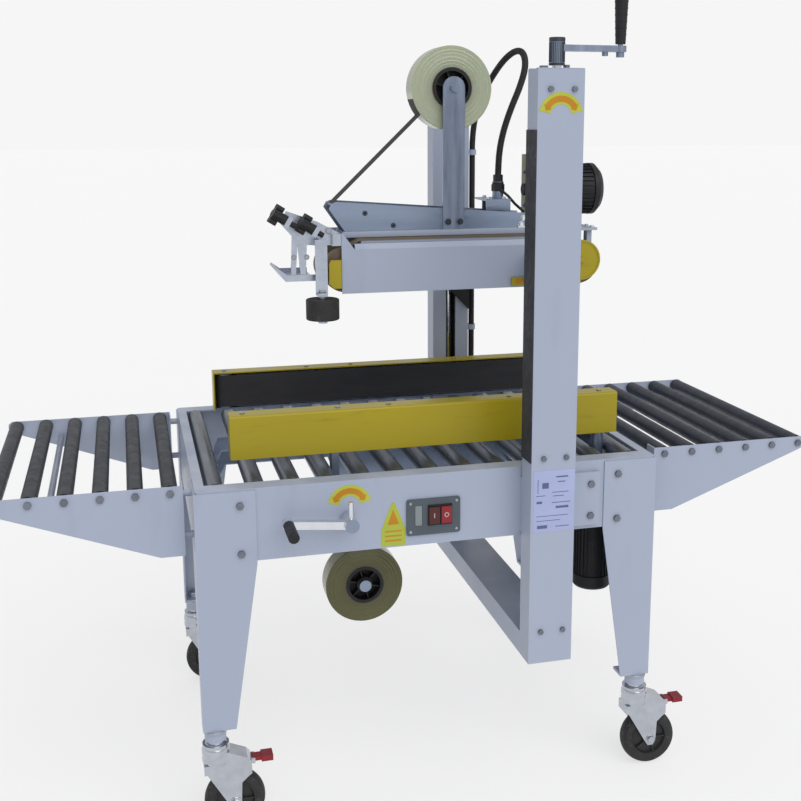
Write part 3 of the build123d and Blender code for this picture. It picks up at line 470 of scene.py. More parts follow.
for material, nodes in NODE_LOOKS.items():
    for node in nodes:
        dress(node, material)

# ---- cable conduit: corrugated hose, clipped to the rear column, then a free loop to the head's gland ----
CONDUIT_ROUTE = [
    (0.290, 0.3925, 0.760),
    (0.290, 0.3925, 1.340),
    (0.290, 0.3925, 1.398),
    (0.294, 0.3785, 1.456),
    (0.305, 0.3505, 1.509),
    (0.320, 0.3125, 1.554),
    (0.334, 0.2685, 1.590),
    (0.345, 0.2175, 1.608),
    (0.347, 0.1655, 1.601),
    (0.339, 0.1245, 1.567),
    (0.317, 0.1005, 1.519),
    (0.290, 0.0915, 1.465),
    (0.270, 0.0885, 1.409),
    (0.260, 0.0865, 1.352),
    (0.260, 0.0865, 1.300),
]
CONDUIT_DIAMETER = 0.016
RIB_PITCH = 0.0045
RIB_DEPTH = 0.0011


def curve_points(route):
    data = bpy.data.curves.new("route", "CURVE")
    data.dimensions = "3D"
    data.resolution_u = 24
    spline = data.splines.new("NURBS")
    spline.points.add(len(route) - 1)
    for point, place in zip(spline.points, route):
        point.co = (*place, 1)
    spline.order_u = 3
    spline.use_endpoint_u = True
    holder = bpy.data.objects.new("route", data)
    bpy.context.scene.collection.objects.link(holder)
    bpy.context.view_layer.update()
    mesh = bpy.data.meshes.new_from_object(holder)
    points = [v.co.copy() for v in mesh.vertices]
    bpy.data.objects.remove(holder)
    bpy.data.curves.remove(data)
    bpy.data.meshes.remove(mesh)
    return points


def even_steps(points, step):
    lengths = [0.0]
    for a, b in zip(points, points[1:]):
        lengths.append(lengths[-1] + (b - a).length)
    count = round(lengths[-1] / step)
    spaced = []
    k = 0
    for i in range(count + 1):
        want = lengths[-1] * i / count
        while k < len(points) - 2 and lengths[k + 1] < want:
            k += 1
        part = (want - lengths[k]) / max(lengths[k + 1] - lengths[k], 1e-9)
        spaced.append(points[k].lerp(points[k + 1], part))
    return spaced, lengths[-1]


def conduit():
    line, length = even_steps(curve_points(CONDUIT_ROUTE), RIB_PITCH / 4)

    def ribbed(i):
        return CONDUIT_DIAMETER / 2 - RIB_DEPTH * (0, 0.35, 1, 0.35)[i % 4]

    hose = Shape().sweep(line, ribbed, 16).piece("conduit_hose", BLACK, slot="black_plastic", smooth=60)
    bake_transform(hose)
    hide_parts("conduit")
    gland = Shape()
    gland.ring(0.0082, 0.0115, -0.001, 0.016, CONDUIT_ROUTE[-1], "z", 6)
    gland.ring(0.0082, 0.0135, -0.006, -0.001, CONDUIT_ROUTE[-1], "z", 32)
    gland.disc(0.0155, -0.022, -0.006, CONDUIT_ROUTE[-1], "z", 6)
    gland.piece("head_gland", BLACK, "head", "black_plastic")
    foot = Shape()
    foot.ring(0.0082, 0.0115, -0.001, 0.014, CONDUIT_ROUTE[0], "z", 6)
    foot.ring(0.0082, 0.0135, -0.020, -0.001, CONDUIT_ROUTE[0], "z", 6)
    foot.piece("column_gland", BLACK, "frame", "black_plastic")


# ---- tape rolls: wound tape, cardboard core, spoked hub ----
def tape_roll(which, body, tape):
    centre = middle(f"{which}_tape_roll")
    low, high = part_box(f"{which}_tape_roll")
    outer = (high.z - low.z) / 2
    half = (high.y - low.y) / 2
    inner = (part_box(f"{which}_roll_hub")[1].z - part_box(f"{which}_roll_hub")[0].z) / 2
    count = 22
    radii = [inner + (outer - 0.0012 - inner) * i / count for i in range(count + 1)]
    uneven = [0.0005 * math.sin(i * 2.4) * math.sin(i * 0.7 + 1) for i in range(count + 1)]
    near = [(r, -half + 0.0006 + d) for r, d in zip(radii, uneven)]
    rim = [(outer, -half + 0.0018), (outer, half - 0.0018)]
    far = [(r, half - 0.0006 - d) for r, d in zip(reversed(radii), reversed(uneven))]
    wound = Shape().lathe(near + rim + far + near[:1], centre, "y", 96)
    bmesh.ops.remove_doubles(wound.mesh, verts=wound.mesh.verts, dist=1e-7)
    slot = "tape_clear" if which == "upper" else "tape_olive"
    wound = wound.piece(f"{which}_wound_tape", tape, body, slot, 30, centre)
    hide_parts(f"{which}_tape_roll")
    core = Shape().ring(inner - 0.004, inner - 0.0001, -half - 0.0006, half + 0.0006, centre, "y", 80)
    core.piece(f"{which}_tape_core", CORE, body, None, 35, centre)
    hub = Shape()
    edge = inner - 0.0042
    hub.ring(edge - 0.004, edge, -half + 0.001, half - 0.001, centre, "y", 64)
    hub.ring(edge - 0.0045, edge + 0.0035, -half - 0.0026, -half - 0.0008, centre, "y", 64)
    web = [(0.0082, -0.004), (edge - 0.004, -0.004), (edge - 0.004, 0.004), (0.0082, 0.004), (0.0082, -0.004)]
    hub.lathe(web, centre, "y", 64)
    hub.ring(0.0082, 0.0185, -0.030, 0.030, centre, "y", 48, 0.001)
    for i in range(6):
        turn = Matrix.Rotation(math.radians(60 * i + 15), 4, "Y")
        for side in (-1, 1):
            made = bmesh.ops.create_cube(hub.mesh, size=1)["verts"]
            shape = Matrix.Diagonal((edge - 0.0215, 0.020, 0.0028, 1))
            away = Matrix.Translation((edge / 2 + 0.0075, side * 0.0135, 0))
            bmesh.ops.transform(hub.mesh, matrix=Matrix.Translation(centre) @ turn @ away @ shape, verts=made)
    bmesh.ops.remove_doubles(hub.mesh, verts=hub.mesh.verts, dist=1e-7)
    hub = hub.piece(f"{which}_hub_spokes", BLACK, body, "black_plastic", 35, centre)
    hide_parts(f"{which}_roll_hub")


# ---- tape webs: from where the tape peels off each roll to the head's first roller ----
WEB_HALF = 0.025


def tape_webs():
    roll = middle("upper_tape_roll")
    radius = (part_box("upper_tape_roll")[1].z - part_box("upper_tape_roll")[0].z) / 2
    nose = Vector((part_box("tape_head")[0].x + 0.019, 0, 1.268))
    peel = math.radians(219)
    on_roll = [(roll.x + (radius + 0.0003) * math.cos(peel - math.radians(a)),
                roll.z + (radius + 0.0003) * math.sin(peel - math.radians(a))) for a in (24, 16, 9, 4, 1)]
    corner = (roll.x + (radius + 0.0016) * math.cos(peel), roll.z + (radius + 0.0016) * math.sin(peel))
    dip = [(nose.x - 0.0055, nose.z - 0.0045), (nose.x - 0.0095, nose.z - 0.008), (nose.x - 0.0115, nose.z - 0.012)]
    dip += [(nose.x - 0.0100, nose.z - 0.018), (nose.x + 0.001, nose.z - 0.032)]
    line = on_roll + [corner] + [(nose.x, nose.z + 0.0015)] + dip
    web = Shape().strip(line, roll.y - WEB_HALF, roll.y + WEB_HALF, 0.0004)
    web.piece("upper_tape_web", WEB, "head", "tape_clear", 60)
    low_roll = middle("lower_tape_roll")
    line = [(low_roll.x + 0.020, low_roll.z + radius * 0.978), (-0.0845, 0.700)]
    line += [(-0.0848, 0.715), (-0.092, 0.7255)]
    web = Shape().strip(line, low_roll.y - WEB_HALF, low_roll.y + WEB_HALF, 0.0004)
    web.piece("lower_tape_web", WEB, "frame", "tape_olive", 60)


# ---- rollers: bearing ends ----
def roller_ends(node, columns, end_y, radius, name, material):
    low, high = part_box(node)
    ends = Shape()
    for x in columns:
        for side in (-1, 1):
            for reach in end_y:
                centre = (x, MIDDLE_Y + side * reach[0], (low.z + high.z) / 2)
                away = Vector((0, side * reach[1], 0))
                ends.ring(0.0052, radius * 0.82, 0.0002, 0.0022, centre, away, 28)
                ends.ring(0.0052, radius * 0.46, 0.0022, 0.0034, centre, away, 20, 0.0002)
    ends.piece(name, material, "frame", "black_plastic")


def columns_of(node, count, radius):
    low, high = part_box(node)
    first, last = low.x + radius, high.x - radius
    return [first + (last - first) * i / (count - 1) for i in range(count)]


def rollers():
    ext_radius = (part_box("infeed_rollers")[1].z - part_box("infeed_rollers")[0].z) / 2
    for node in ("infeed_rollers", "outfeed_rollers"):
        columns = columns_of(node, 6, ext_radius)
        roller_ends(node, columns, [(0.298, 1)], ext_radius, f"{node}_bearings", BLACK)
    bed_radius = (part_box("bed_rollers")[1].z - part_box("bed_rollers")[0].z) / 2
    low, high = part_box("bed_rollers")
    last = high.x - bed_radius
    short = [last - SHORT_PITCH * i for i in range(SHORT_ROLLERS)]
    roller_ends("bed_rollers", short, [(0.304, 1), (0.062, -1)], bed_radius, "bed_roller_bearings", BLACK)
    roller_ends("bed_rollers", [low.x + bed_radius], [(0.305, 1)], bed_radius, "first_roller_bearings", BLACK)


# ---- stickers: plain shapes that turn a corner round the printed arrows, without any text ----
def arc_outline(centre, inner, outer, start, end, steps=18):
    turn = [math.radians(start + (end - start) * i / steps) for i in range(steps + 1)]
    outside = [(centre[0] + outer * math.cos(a), centre[1] + outer * math.sin(a)) for a in turn]
    inside = [(centre[0] + inner * math.cos(a), centre[1] + inner * math.sin(a)) for a in reversed(turn)]
    return outside + inside


def arrow_outline(centre, radius, width, tip, direction):
    # a small triangle at the end of an arc, pointing along it
    a = math.radians(tip)
    b = math.radians(tip + direction * 16)
    inner = (centre[0] + (radius - width) * math.cos(a), centre[1] + (radius - width) * math.sin(a))
    outer = (centre[0] + (radius + width) * math.cos(a), centre[1] + (radius + width) * math.sin(a))
    point = (centre[0] + radius * math.cos(b), centre[1] + radius * math.sin(b))
    return [inner, outer, point]


def turn_sticker(name, centre, y, body):
    plate = Shape().prism(arc_outline(centre, 0.022, 0.0455, 12, 168), y, y - 0.0004)
    plate.piece(f"{name}_ground", LABEL_YELLOW, body)
    arrow = Shape().prism(arc_outline(centre, 0.0270, 0.0385, 34, 146), y - 0.0004, y - 0.0007)
    for tip, direction in ((146, 1), (34, -1)):
        arrow.prism(arrow_outline(centre, 0.0328, 0.0092, tip, direction), y - 0.0004, y - 0.0007)
    arrow.piece(f"{name}_arrows", LABEL_ORANGE, body)


def stickers():
    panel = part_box("bed_side_front")[0].y
    turn_sticker("width_sticker", (-0.183, 0.676), panel, "frame")
    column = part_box("front_column")[0].y
    turn_sticker("height_sticker", (0.230, 1.449), column, "frame")
    left, right, bottom, top = -0.118, -0.067, 0.583, 0.676
    middle_x = (left + right) / 2
    outline = [(left, bottom), (right, bottom), (right, bottom + 0.034), (right - 0.010, bottom + 0.062)]
    outline += [(middle_x + 0.003, top), (middle_x - 0.003, top)]
    outline += [(left + 0.010, bottom + 0.062), (left, bottom + 0.034)]
    Shape().prism(outline, panel, panel - 0.0004).piece("pointed_label", LABEL_LIME, "frame")
    mark = [(middle_x - 0.012, bottom + 0.046), (middle_x + 0.012, bottom + 0.046), (middle_x, bottom + 0.078)]
    sign = Shape().prism(mark, panel - 0.0004, panel - 0.0007)
    for i in range(3):
        z = bottom + 0.010 + 0.010 * i
        sign.prism([(left + 0.008, z), (right - 0.008, z), (right - 0.008, z + 0.003), (left + 0.008, z + 0.003)],
                   panel - 0.0004, panel - 0.0006)
    sign.piece("pointed_label_marks", LABEL_ORANGE, "frame")
    plate = Shape()
    low_x, high_x, low_z, high_z = 0.187, 0.277, 0.606, 0.738
    plate.box((low_x, column - 0.0006, low_z), (high_x, column, high_z), 0.0002)
    plate.piece("column_plate", LABEL_PALE, "frame")
    ink = Shape()
    lines = [(0.193, 0.684, 0.020, 0.0014), (0.196, 0.690, 0.0014, 0.030), (0.206, 0.700, 0.014, 0.012)]
    lines += [(0.236, 0.722, 0.026, 0.003), (0.240, 0.712, 0.016, 0.002), (0.194, 0.668, 0.012, 0.005)]
    lines += [(0.228, 0.690, 0.036, 0.0015), (0.230, 0.682, 0.024, 0.0015), (0.228, 0.668, 0.040, 0.0015)]
    lines += [(0.236, 0.656, 0.028, 0.005), (0.194, 0.640, 0.070, 0.0012), (0.194, 0.630, 0.052, 0.0012)]
    lines += [(0.196, 0.614, 0.022, 0.007), (0.236, 0.616, 0.030, 0.0015)]
    for x, z, wide, high in lines:
        ink.box((x, column - 0.0008, z), (x + wide, column - 0.0005, z + high))
    ink.piece("column_plate_marks", LABEL_INK, "frame")
    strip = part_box("belt_end_caps")[0].y
    label = Shape().box((0.257, strip - 0.0005, 1.0775), (0.276, strip, 1.0885), 0.0001)
    label.piece("strip_label", LABEL_ORANGE, "head")


# ---- switch box: bezel, marks on the buttons, indicator ----
def switch_details():
    low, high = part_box("switch_box")
    front = low.y
    bezel = Shape()
    start_low, stop_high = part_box("start_button")[0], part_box("stop_button")[1]
    x0, x1, z0, z1 = start_low.x - 0.001, stop_high.x + 0.001, 0.6225, 0.6655
    for a, b in (((x0, z0), (x1, z0 + 0.003)), ((x0, z1 - 0.003), (x1, z1))):
        bezel.box((a[0], front - 0.004, a[1]), (b[0], front + 0.0005, b[1]), 0.0006)
    for x in (x0 - 0.0005, x1 - 0.0025):
        bezel.box((x, front - 0.004, z0), (x + 0.003, front + 0.0005, z1), 0.0006)
    bezel.piece("button_bezel", BLACK, "frame", "black_plastic")
    lens = Shape().box((-0.0475, front - 0.0005, 0.6225), (-0.0325, front + 0.003, 0.6655), 0.0015)
    lens.piece("indicator_lens", LENS, "frame", "switch_grey")
    screws = Shape()
    for x in (low.x + 0.008, high.x - 0.008):
        for z in (low.z + 0.008, high.z - 0.008):
            screws.disc(0.0032, 0, 0.0012, (x, front, z), (0, -1, 0), 20)
    screws.piece("switch_box_screws", ZINC, "frame", "zinc_bolt")
    for node, body, shape in (("start_button", "start_button", "bar"), ("stop_button", "stop_button", "ring")):
        centre = middle(node)
        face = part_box(node)[0].y
        mark = Shape()
        if shape == "bar":
            low_corner = (centre.x - 0.0009, face - 0.0003, centre.z - 0.005)
            mark.box(low_corner, (centre.x + 0.0009, face, centre.z + 0.005))
        else:
            mark.ring(0.0034, 0.0050, 0, 0.0003, (centre.x, face, centre.z), (0, -1, 0), 32, 0.00005)
        mark.piece(f"{node}_mark", MARK_WHITE, body)


# ---- casters ----
def casters():
    for corner in ("fl", "fr", "rl", "rr"):
        wheel_centre = middle(f"caster_wheel_{corner}")
        low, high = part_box(f"caster_wheel_{corner}")
        radius = (high.z - low.z) / 2
        half = (high.y - low.y) / 2
        across = [half * math.sin(a) for a in (-1.2, -0.8, -0.4, 0, 0.4, 0.8, 1.2)]
        tread = [(radius - 0.0022 * (h / half) ** 2 * 2, h) for h in across]
        edge = [(radius - 0.010, -half), (radius - 0.005, -half + 0.0004)]
        inner = 0.042
        profile = [(inner, -half + 0.002)] + edge + tread
        profile += [(radius - 0.005, half - 0.0004), (radius - 0.010, half)]
        profile += [(inner, half - 0.002), (inner, -half + 0.002)]
        tyre = Shape().lathe(profile, wheel_centre, "y", 72)
        bmesh.ops.remove_doubles(tyre.mesh, verts=tyre.mesh.verts, dist=1e-7)
        tyre = tyre.piece(f"tyre_{corner}", TYRE, f"wheel_{corner}", "caster_tyre", 40, wheel_centre)
        rim = Shape()
        section = [(0.0062, -half), (0.014, -half), (0.015, -half + 0.001), (0.017, -half + 0.006)]
        section += [(0.036, -half + 0.007), (0.039, -half + 0.001), (inner + 0.0002, -half + 0.001)]
        profile = section + [(r, -h) for r, h in reversed(section)] + section[:1]
        rim.lathe(profile, wheel_centre, "y", 64)
        bmesh.ops.remove_doubles(rim.mesh, verts=rim.mesh.verts, dist=1e-7)
        for i in range(5):
            turn = Matrix.Rotation(math.radians(72 * i), 4, "Y")
            for side in (-1, 1):
                made = bmesh.ops.create_cube(rim.mesh, size=1)["verts"]
                shape = Matrix.Diagonal((0.0215, 0.0058, 0.0030, 1))
                away = Matrix.Translation((0.0262, side * (half - 0.0048), 0))
                place = Matrix.Translation(wheel_centre) @ turn @ away @ shape
                bmesh.ops.transform(rim.mesh, matrix=place, verts=made)
        rim = rim.piece(f"rim_{corner}", RIM, f"wheel_{corner}", "black_plastic", 35, wheel_centre)
        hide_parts(f"caster_wheel_{corner}")
        fork_low, fork_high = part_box(f"caster_fork_{corner}")
        neck = Vector((fork_low.x + 0.027, middle(f"caster_fork_{corner}").y, 0.150))
        dress_up = Shape()
        dome = [(0.0272, 0), (0.0287, 0.003), (0.0290, 0.010), (0.0280, 0.0135), (0.0280, 0.016), (0.0290, 0.0195)]
        dome += [(0.0290, 0.028), (0.0272, 0.0355), (0.0230, 0.0415), (0.0188, 0.0435), (0.0184, 0.0495)]
        dome += [(0.0165, 0.0498), (0.0165, 0)]
        dress_up.lathe(dome + dome[:1], neck, "z", 48)
        bmesh.ops.remove_doubles(dress_up.mesh, verts=dress_up.mesh.verts, dist=1e-7)
        for side in (-1, 1):
            spot = Vector((wheel_centre.x, neck.y + side * 0.022, wheel_centre.z))
            dress_up.screw(spot, (0, side, 0), 0.0085, 0.006)
        dress_up.piece(f"caster_neck_{corner}", FORK_ZINC, f"caster_{corner}", "zinc_bolt")


# ---- motors of the side belts and of the top belts ----
def side_motor(side, body, node):
    low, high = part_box(node)
    centre = Vector((MOTOR_X, MIDDLE_Y + side * MOTOR_Y, 0))
    fins = Shape()
    for i in range(28):
        turn = Matrix.Rotation(2 * math.pi * i / 28, 4, "Z")
        made = bmesh.ops.create_cube(fins.mesh, size=1)["verts"]
        place = Matrix.Translation(centre + Vector((0, 0, 0.480))) @ turn @ Matrix.Translation((0.0405, 0, 0))
        bmesh.ops.transform(fins.mesh, matrix=place @ Matrix.Diagonal((0.005, 0.0016, 0.118, 1)), verts=made)
    fins.lathe([(0.040, 0.540), (0.0435, 0.541), (0.0435, 0.554), (0.040, 0.5555), (0.040, 0.540)], centre, "z", 56)
    cover = [(0.0402, 0.420), (0.0438, 0.419), (0.0442, 0.395), (0.0405, 0.3900), (0.034, 0.3892), (0.0402, 0.420)]
    fins.lathe(cover, centre, "z", 56)
    bmesh.ops.remove_doubles(fins.mesh, verts=fins.mesh.verts, dist=1e-7)
    box_y = sorted((centre.y - side * 0.036, centre.y - side * 0.066))
    fins.box((0.385, box_y[0], 0.440), (0.431, box_y[1], 0.505), 0.002)
    fins.piece(f"{body}_motor_fins", MOTOR, body, "motor_black")
    motor = Shape().disc(0.0401, 0.3899, 0.5555, centre, "z", 64, 0.002)
    motor.piece(f"{body}_motor_shell", MOTOR, body, "motor_black")
    bolts = Shape()
    for dx in (-0.034, 0.030):
        for dz in (0.566, 0.640):
            spot = Vector((0.412 + dx, low.y if side < 0 else high.y, dz))
            bolts.screw(spot, (0, side, 0), 0.0045, 0.004)
    bolts.piece(f"{body}_gearbox_bolts", ZINC, body, "zinc_bolt")


def top_motor_details():
    low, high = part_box("top_motor")
    centre = Vector((0, MIDDLE_Y + TOP_MOTOR_Y, TOP_MOTOR_Z))
    fins = Shape()
    for i in range(32):
        turn = Matrix.Rotation(2 * math.pi * i / 32, 4, "X")
        made = bmesh.ops.create_cube(fins.mesh, size=1)["verts"]
        place = Matrix.Translation(centre + Vector((0.440, 0, 0))) @ turn @ Matrix.Translation((0, 0, 0.0575))
        bmesh.ops.transform(fins.mesh, matrix=place @ Matrix.Diagonal((0.090, 0.0018, 0.006, 1)), verts=made)
    for radius in (0.043, 0.032, 0.020):
        fins.ring(radius - 0.003, radius, high.x - 0.0002, high.x + 0.0010, centre, "x", 48, 0.0003)
    fins.ring(0.050, 0.0535, 0.387, 0.3925, centre, "x", 56)
    fins.box((0.402, centre.y - 0.026, centre.z + 0.052), (0.458, centre.y + 0.026, centre.z + 0.078), 0.003)
    fins.piece("top_motor_fins", MOTOR, "head", "motor_black")
    # the plate is the guards' yellow with painted shade laid into its colour
    plate = Shape()
    plate.box((0.3440, MIDDLE_Y + 0.007, low.z), (0.3540, MIDDLE_Y + 0.133, high.z), 0.0008)
    plate.piece("top_motor_plate", YELLOW_IN_SHADE, "head", "guard_yellow")
    bolts = Shape()
    for dy in (-0.040, 0.040):
        for dz in (-0.040, 0.040):
            bolts.screw(centre + Vector((0.3440, dy, dz)), (-1, 0, 0), 0.005, 0.004)
    bolts.piece("top_motor_bolts", ZINC, "head", "zinc_bolt")


# ---- rubber strips that close the columns' slots, and black sheets of painted shade inside and beside them ----
def column_slot_seals_and_shade():
    z0, z1 = SLOT_Z
    for node, side in (("front_column", -1), ("rear_column", 1)):
        inner_face = MIDDLE_Y + side * COLUMN_INNER
        seal = Shape()
        # rubber lips that leave the neck of the carriage free, and a black sheet behind the screw that is painted
        # shade inside the column
        for x0, x1 in ((0.2165, 0.2196), (0.2404, 0.2435)):
            y0, y1 = sorted((inner_face + side * 0.0005, inner_face + side * 0.0020))
            seal.box((x0, y0, z0), (x1, y1, z1))
        y0, y1 = sorted((MIDDLE_Y + side * 0.4066, MIDDLE_Y + side * 0.4088))
        seal.box((0.1860, y0, z0), (0.2740, y1, z1))
        seal.piece(f"{node}_slot_seal_and_shade", SLOT_SEAL_AND_SHADE, "frame", "belt_rubber")
    # a black sheet over the front column's -X side between the slot's ends: painted shade on that face
    near, far = MIDDLE_Y - COLUMN_OUTER - 0.0005, MIDDLE_Y - COLUMN_INNER + 0.0005
    side_strip = Shape().box((0.1796, near, z0), (0.1815, far, z1), 0.0005)
    side_strip.piece("front_column_shade_strip", SLOT_SEAL_AND_SHADE, "frame", "belt_rubber")


# ---- hardware of the head ----
def head_hardware():
    near = MIDDLE_Y - PLATE_Y
    dark = Shape()
    for x in (0.108, 0.136):
        dark.screw((x, MIDDLE_Y - 0.049, 1.218), (0, -1, 0), 0.0052, 0.0035)
    for x, z in ((-0.146, 1.256), (-0.060, 1.234), (0.060, 1.224)):
        dark.screw((x, MIDDLE_Y + PLATE_Y, z), (0, 1, 0), 0.0048, 0.0035)
    dark.piece("tape_head_bolts", DARK_BOLT, "head", "zinc_bolt")
    bright = Shape()
    for x, z in ((0.284, 1.208), (0.289, 1.222)):
        bright.screw((x, near, z), (0, -1, 0), 0.0050, 0.005)
    bright.box((0.276, near - 0.004, 1.200), (0.297, near, 1.204), 0.0006)
    shelf_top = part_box("top_motor")[0].z
    for x in (0.362, 0.420, 0.462):
        for y in (-0.032, 0.0):
            bright.screw((x, MIDDLE_Y + y, shelf_top), "z", 0.0050, 0.005)
    for x in (0.224, 0.262):
        bright.screw((x, MIDDLE_Y + 0.022, 1.262), "z", 0.0045, 0.005)
    bright.screw((0.236, MIDDLE_Y + 0.090, 1.262), "z", 0.0045, 0.005)
    bright.piece("head_bright_bolts", CHROME, "head", "chrome_trim")
    roller = Shape()
    for x, z, r in ((-0.080, 1.240, 0.0058), (-0.016, 1.212, 0.0058)):
        roller.ring(0.002, r, -0.0385, 0.0385, (x, MIDDLE_Y, z), "y", 32)
    roller.piece("tape_guide_rods", DARK_BOLT, "head", "steel_plate")
    tail = [(0.262, 0.046, 1.282), (0.277, 0.036, 1.268), (0.288, 0.016, 1.250), (0.294, -0.026, 1.236)]
    tail = [Vector((x, MIDDLE_Y + y, z)) for x, y, z in tail]
    tail = Shape().sweep(tail, lambda i: 0.0032, 12)
    tail.piece("gland_tail", BLACK, "head", "black_plastic")
    caps = Shape()
    for side in (-1, 1):
        centre = (CAP_X, MIDDLE_Y + side * CAP_Y, CAP_Z)
        caps.ring(0.0415, 0.0460, 0, 0.0015, centre, (0, side, 0), 64)
        caps.screw(centre, (0, side, 0), 0.007, 0.004)
    caps.piece("belt_cap_trim", YELLOW, "head", "guard_yellow")
    rail = Shape()
    for side in (-1, 1):
        y0, y1 = sorted((MIDDLE_Y + side * 0.0375, MIDDLE_Y + side * 0.0446))
        rail.box((-0.1306, y0, 1.1878), (0.3004, y1, 1.2006), 0.0008)
    rail.piece("tape_head_rails", BODY, "head", "body_paint")
    gusset = Shape()
    corners = [(0.2114, 1.0788), (0.2114, 1.0176), (0.2786, 0.9490), (0.2786, 1.0788)]
    for side in (-1, 1):
        y0, y1 = sorted((MIDDLE_Y + side * 0.3454, MIDDLE_Y + side * 0.3524))
        gusset.prism(corners, y0, y1)
    gusset.piece("carriage_gussets", BLACK, "head", "black_plastic")
    ski = Shape()
    for x in (-0.215, -0.243):
        ski.screw((x, MIDDLE_Y - 0.062, 1.150), (0, -1, 0), 0.0045, 0.003)
    ski.screw((-0.166, MIDDLE_Y - 0.062, 1.206), (0, -1, 0), 0.006, 0.004)
    ski.screw((middle("press_roller").x, MIDDLE_Y - 0.098, 1.0758), "z", 0.007, 0.006)
    ski.piece("ski_bolts", ZINC, "head", "zinc_bolt")


# ---- cranks ----
def crank_details():
    hub = Shape()
    centre = Vector((SCREW_X, MIDDLE_Y - SCREW_Y, 0))
    hub.ring(0.0092, 0.0158, 1.5895, 1.5978, centre, "z", 40, 0.001)
    hub.ring(0.0092, 0.0158, 1.5452, 1.550, centre, "z", 40, 0.0008)
    for i in range(26):
        turn = Matrix.Translation(centre + Vector((0, 0, 1.5700))) @ Matrix.Rotation(2 * math.pi * i / 26, 4, "Z")
        made = bmesh.ops.create_cube(hub.mesh, size=1)["verts"]
        place = turn @ Matrix.Translation((0.0150, 0, 0)) @ Matrix.Diagonal((0.0014, 0.0018, 0.038, 1))
        bmesh.ops.transform(hub.mesh, matrix=place, verts=made)
    hub.piece("height_crank_collars", DARK_BOLT, "height_crank", "steel_plate")
    grooves = Shape()
    low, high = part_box("crank_grip")
    grip = middle("crank_grip")
    for i in range(7):
        z = low.z + 0.016 + i * 0.0125
        radius = 0.010 + (z - low.z) / (high.z - low.z) * 0.004
        grooves.ring(radius - 0.002, radius + 0.0007, z, z + 0.004, (grip.x, grip.y, 0), "z", 32, 0.0012)
    grooves.piece("crank_grip_rings", BLACK, "crank_grip", "black_plastic")
    width = Shape()
    axis = Vector((-0.188, MIDDLE_Y - 0.402, 0.653))
    width.ring(0.004, 0.0143, 0, 0.0016, axis, (0, -1, 0), 40)
    width.disc(0.0055, 0, 0.0012, axis, (0, -1, 0), 6)
    width.piece("width_crank_collar", ARM_STEEL, "width_crank", "chrome_trim")
    grip = middle("width_grip")
    end = (grip.x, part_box("width_grip")[1].y, grip.z)
    collar = Shape().ring(0.0046, 0.0098, 0.0001, 0.0009, end, "y", 32, 0.0002)
    collar.piece("width_grip_collar", CHROME, "width_grip", "chrome_trim")


# ---- guards: screws along the top, and the pulleys' caps ----
def guard_details():
    for side, body, node in ((-1, "front_belt_unit", "front_belt_guard"), (1, "rear_belt_unit", "rear_belt_guard")):
        low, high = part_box(node)
        y = MIDDLE_Y + side * 0.212
        screws = Shape()
        for x in (-0.379, -0.180, -0.070, 0.200, 0.412):
            screws.disc(0.0055, 0, 0.0024, (x, y, high.z), "z", 28, 0.001)
            screws.disc(0.0030, 0.0018, 0.0028, (x, y, high.z), "z", 6, 0.0002)
        screws.piece(f"{body}_guard_screws", ZINC, body, "zinc_bolt")
        pulleys = Shape()
        for x in (-0.379, 0.412):
            pulleys.ring(0.010, 0.0176, 0.7635, 0.766, (x, MIDDLE_Y + side * 0.208, 0), "z", 40)
        pulleys.piece(f"{body}_pulley_flanges", CHROME, body, "chrome_trim")


# ---- frame trim: plugs, folded seams and feet collars ----
def frame_trim():
    caps = Shape()
    for node, side in (("front_column", -1), ("rear_column", 1)):
        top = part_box(node)[1].z
        y0, y1 = sorted((MIDDLE_Y + side * 0.3565, MIDDLE_Y + side * 0.4115))
        for ya, yb in ((y0, y0 + 0.012), (y1 - 0.012, y1)):
            caps.box((0.1825, ya, top - 0.0002), (0.2775, yb, top + 0.0018), 0.0006)
    caps.piece("column_top_strips", BODY, "frame", "body_paint")
    collar = Shape()
    for corner in ("fl", "fr", "rl", "rr"):
        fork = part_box(f"caster_fork_{corner}")[0].x + 0.027
        neck = (fork, middle(f"caster_fork_{corner}").y, 0)
        collar.ring(0.0221, 0.0240, 0.216, 0.2226, neck, "z", 40)
        collar.disc(0.0115, 0.239, 0.243, neck, "z", 6)
    collar.piece("leg_collars", ZINC, "frame", "zinc_bolt")


conduit()
tape_roll("upper", "upper_roll", CLEAR_TAPE)
tape_roll("lower", "lower_roll", OLIVE_TAPE)
tape_webs()
rollers()
stickers()
switch_details()
casters()
side_motor(-1, "front_belt_unit", "front_belt_drive")
side_motor(1, "rear_belt_unit", "rear_belt_drive")
top_motor_details()
column_slot_seals_and_shade()
head_hardware()
crank_details()
guard_details()
frame_trim()


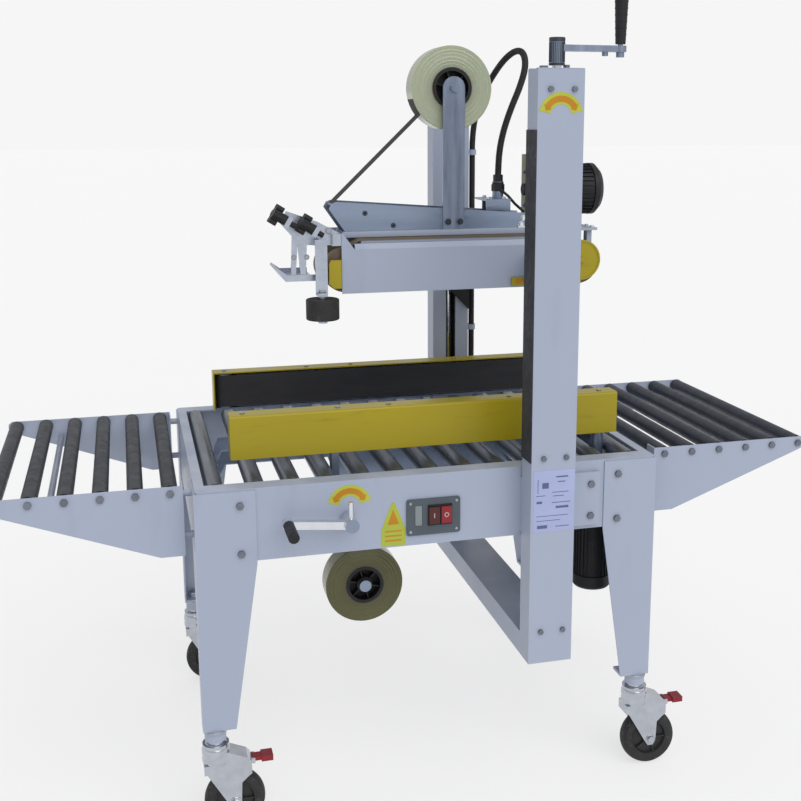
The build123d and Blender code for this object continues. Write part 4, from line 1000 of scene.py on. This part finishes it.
# ---- studio: pale floor, soft light, camera ----
def studio():
    data = bpy.data.meshes.new("floor")
    reach = 60
    corners = [(-reach, -reach, 0), (reach, -reach, 0), (reach, reach, 0), (-reach, reach, 0)]
    data.from_pydata(corners, [], [(0, 1, 2, 3)])
    floor = bpy.data.objects.new("floor", data)
    bpy.context.scene.collection.objects.link(floor)
    paint = Paint("studio_floor", (0.31, 0.31, 0.31), (0.30, 0.30, 0.302), size=0.4, rough=(0.8, 0.9))
    paint.set(Specular_IOR_Level=0.1, Emission_Color=(1, 1, 1, 1), Emission_Strength=0.636)
    data.materials.append(paint.material)
    world = bpy.data.worlds.new("studio")
    world.use_nodes = True
    tree = world.node_tree
    background = tree.nodes["Background"]
    background.inputs["Color"].default_value = (0.64, 0.64, 0.65, 1)
    backdrop = tree.nodes.new("ShaderNodeBackground")
    backdrop.inputs["Color"].default_value = (0.922, 0.922, 0.922, 1)
    choice = tree.nodes.new("ShaderNodeMixShader")
    tree.links.new(tree.nodes.new("ShaderNodeLightPath").outputs["Is Camera Ray"], choice.inputs[0])
    tree.links.new(background.outputs[0], choice.inputs[1])
    tree.links.new(backdrop.outputs[0], choice.inputs[2])
    tree.links.new(choice.outputs[0], tree.nodes["World Output"].inputs["Surface"])
    bpy.context.scene.world = world
    light = bpy.data.lights.new("soft_sun", "SUN")
    light.energy = 1.35
    light.angle = math.radians(60)
    lamp = bpy.data.objects.new("soft_sun", light)
    lamp.rotation_euler = Vector((-0.2, 0.85, -0.75)).to_track_quat("-Z", "Y").to_euler()
    bpy.context.scene.collection.objects.link(lamp)
    bpy.context.scene.view_settings.view_transform = "Standard"


def camera():
    data = bpy.data.cameras.new("camera")
    data.sensor_width = 36
    data.lens = 51.3
    data.shift_x = -0.043
    data.shift_y = -0.067
    made = bpy.data.objects.new("camera", data)
    made.location = (-0.593, -2.488, 1.440)
    yaw, pitch = math.radians(15.2), math.radians(11.2)
    look = Vector((math.sin(yaw) * math.cos(pitch), math.cos(yaw) * math.cos(pitch), -math.sin(pitch)))
    made.rotation_euler = look.to_track_quat("-Z", "Y").to_euler()
    bpy.context.scene.collection.objects.link(made)
    bpy.context.scene.camera = made


studio()
camera()
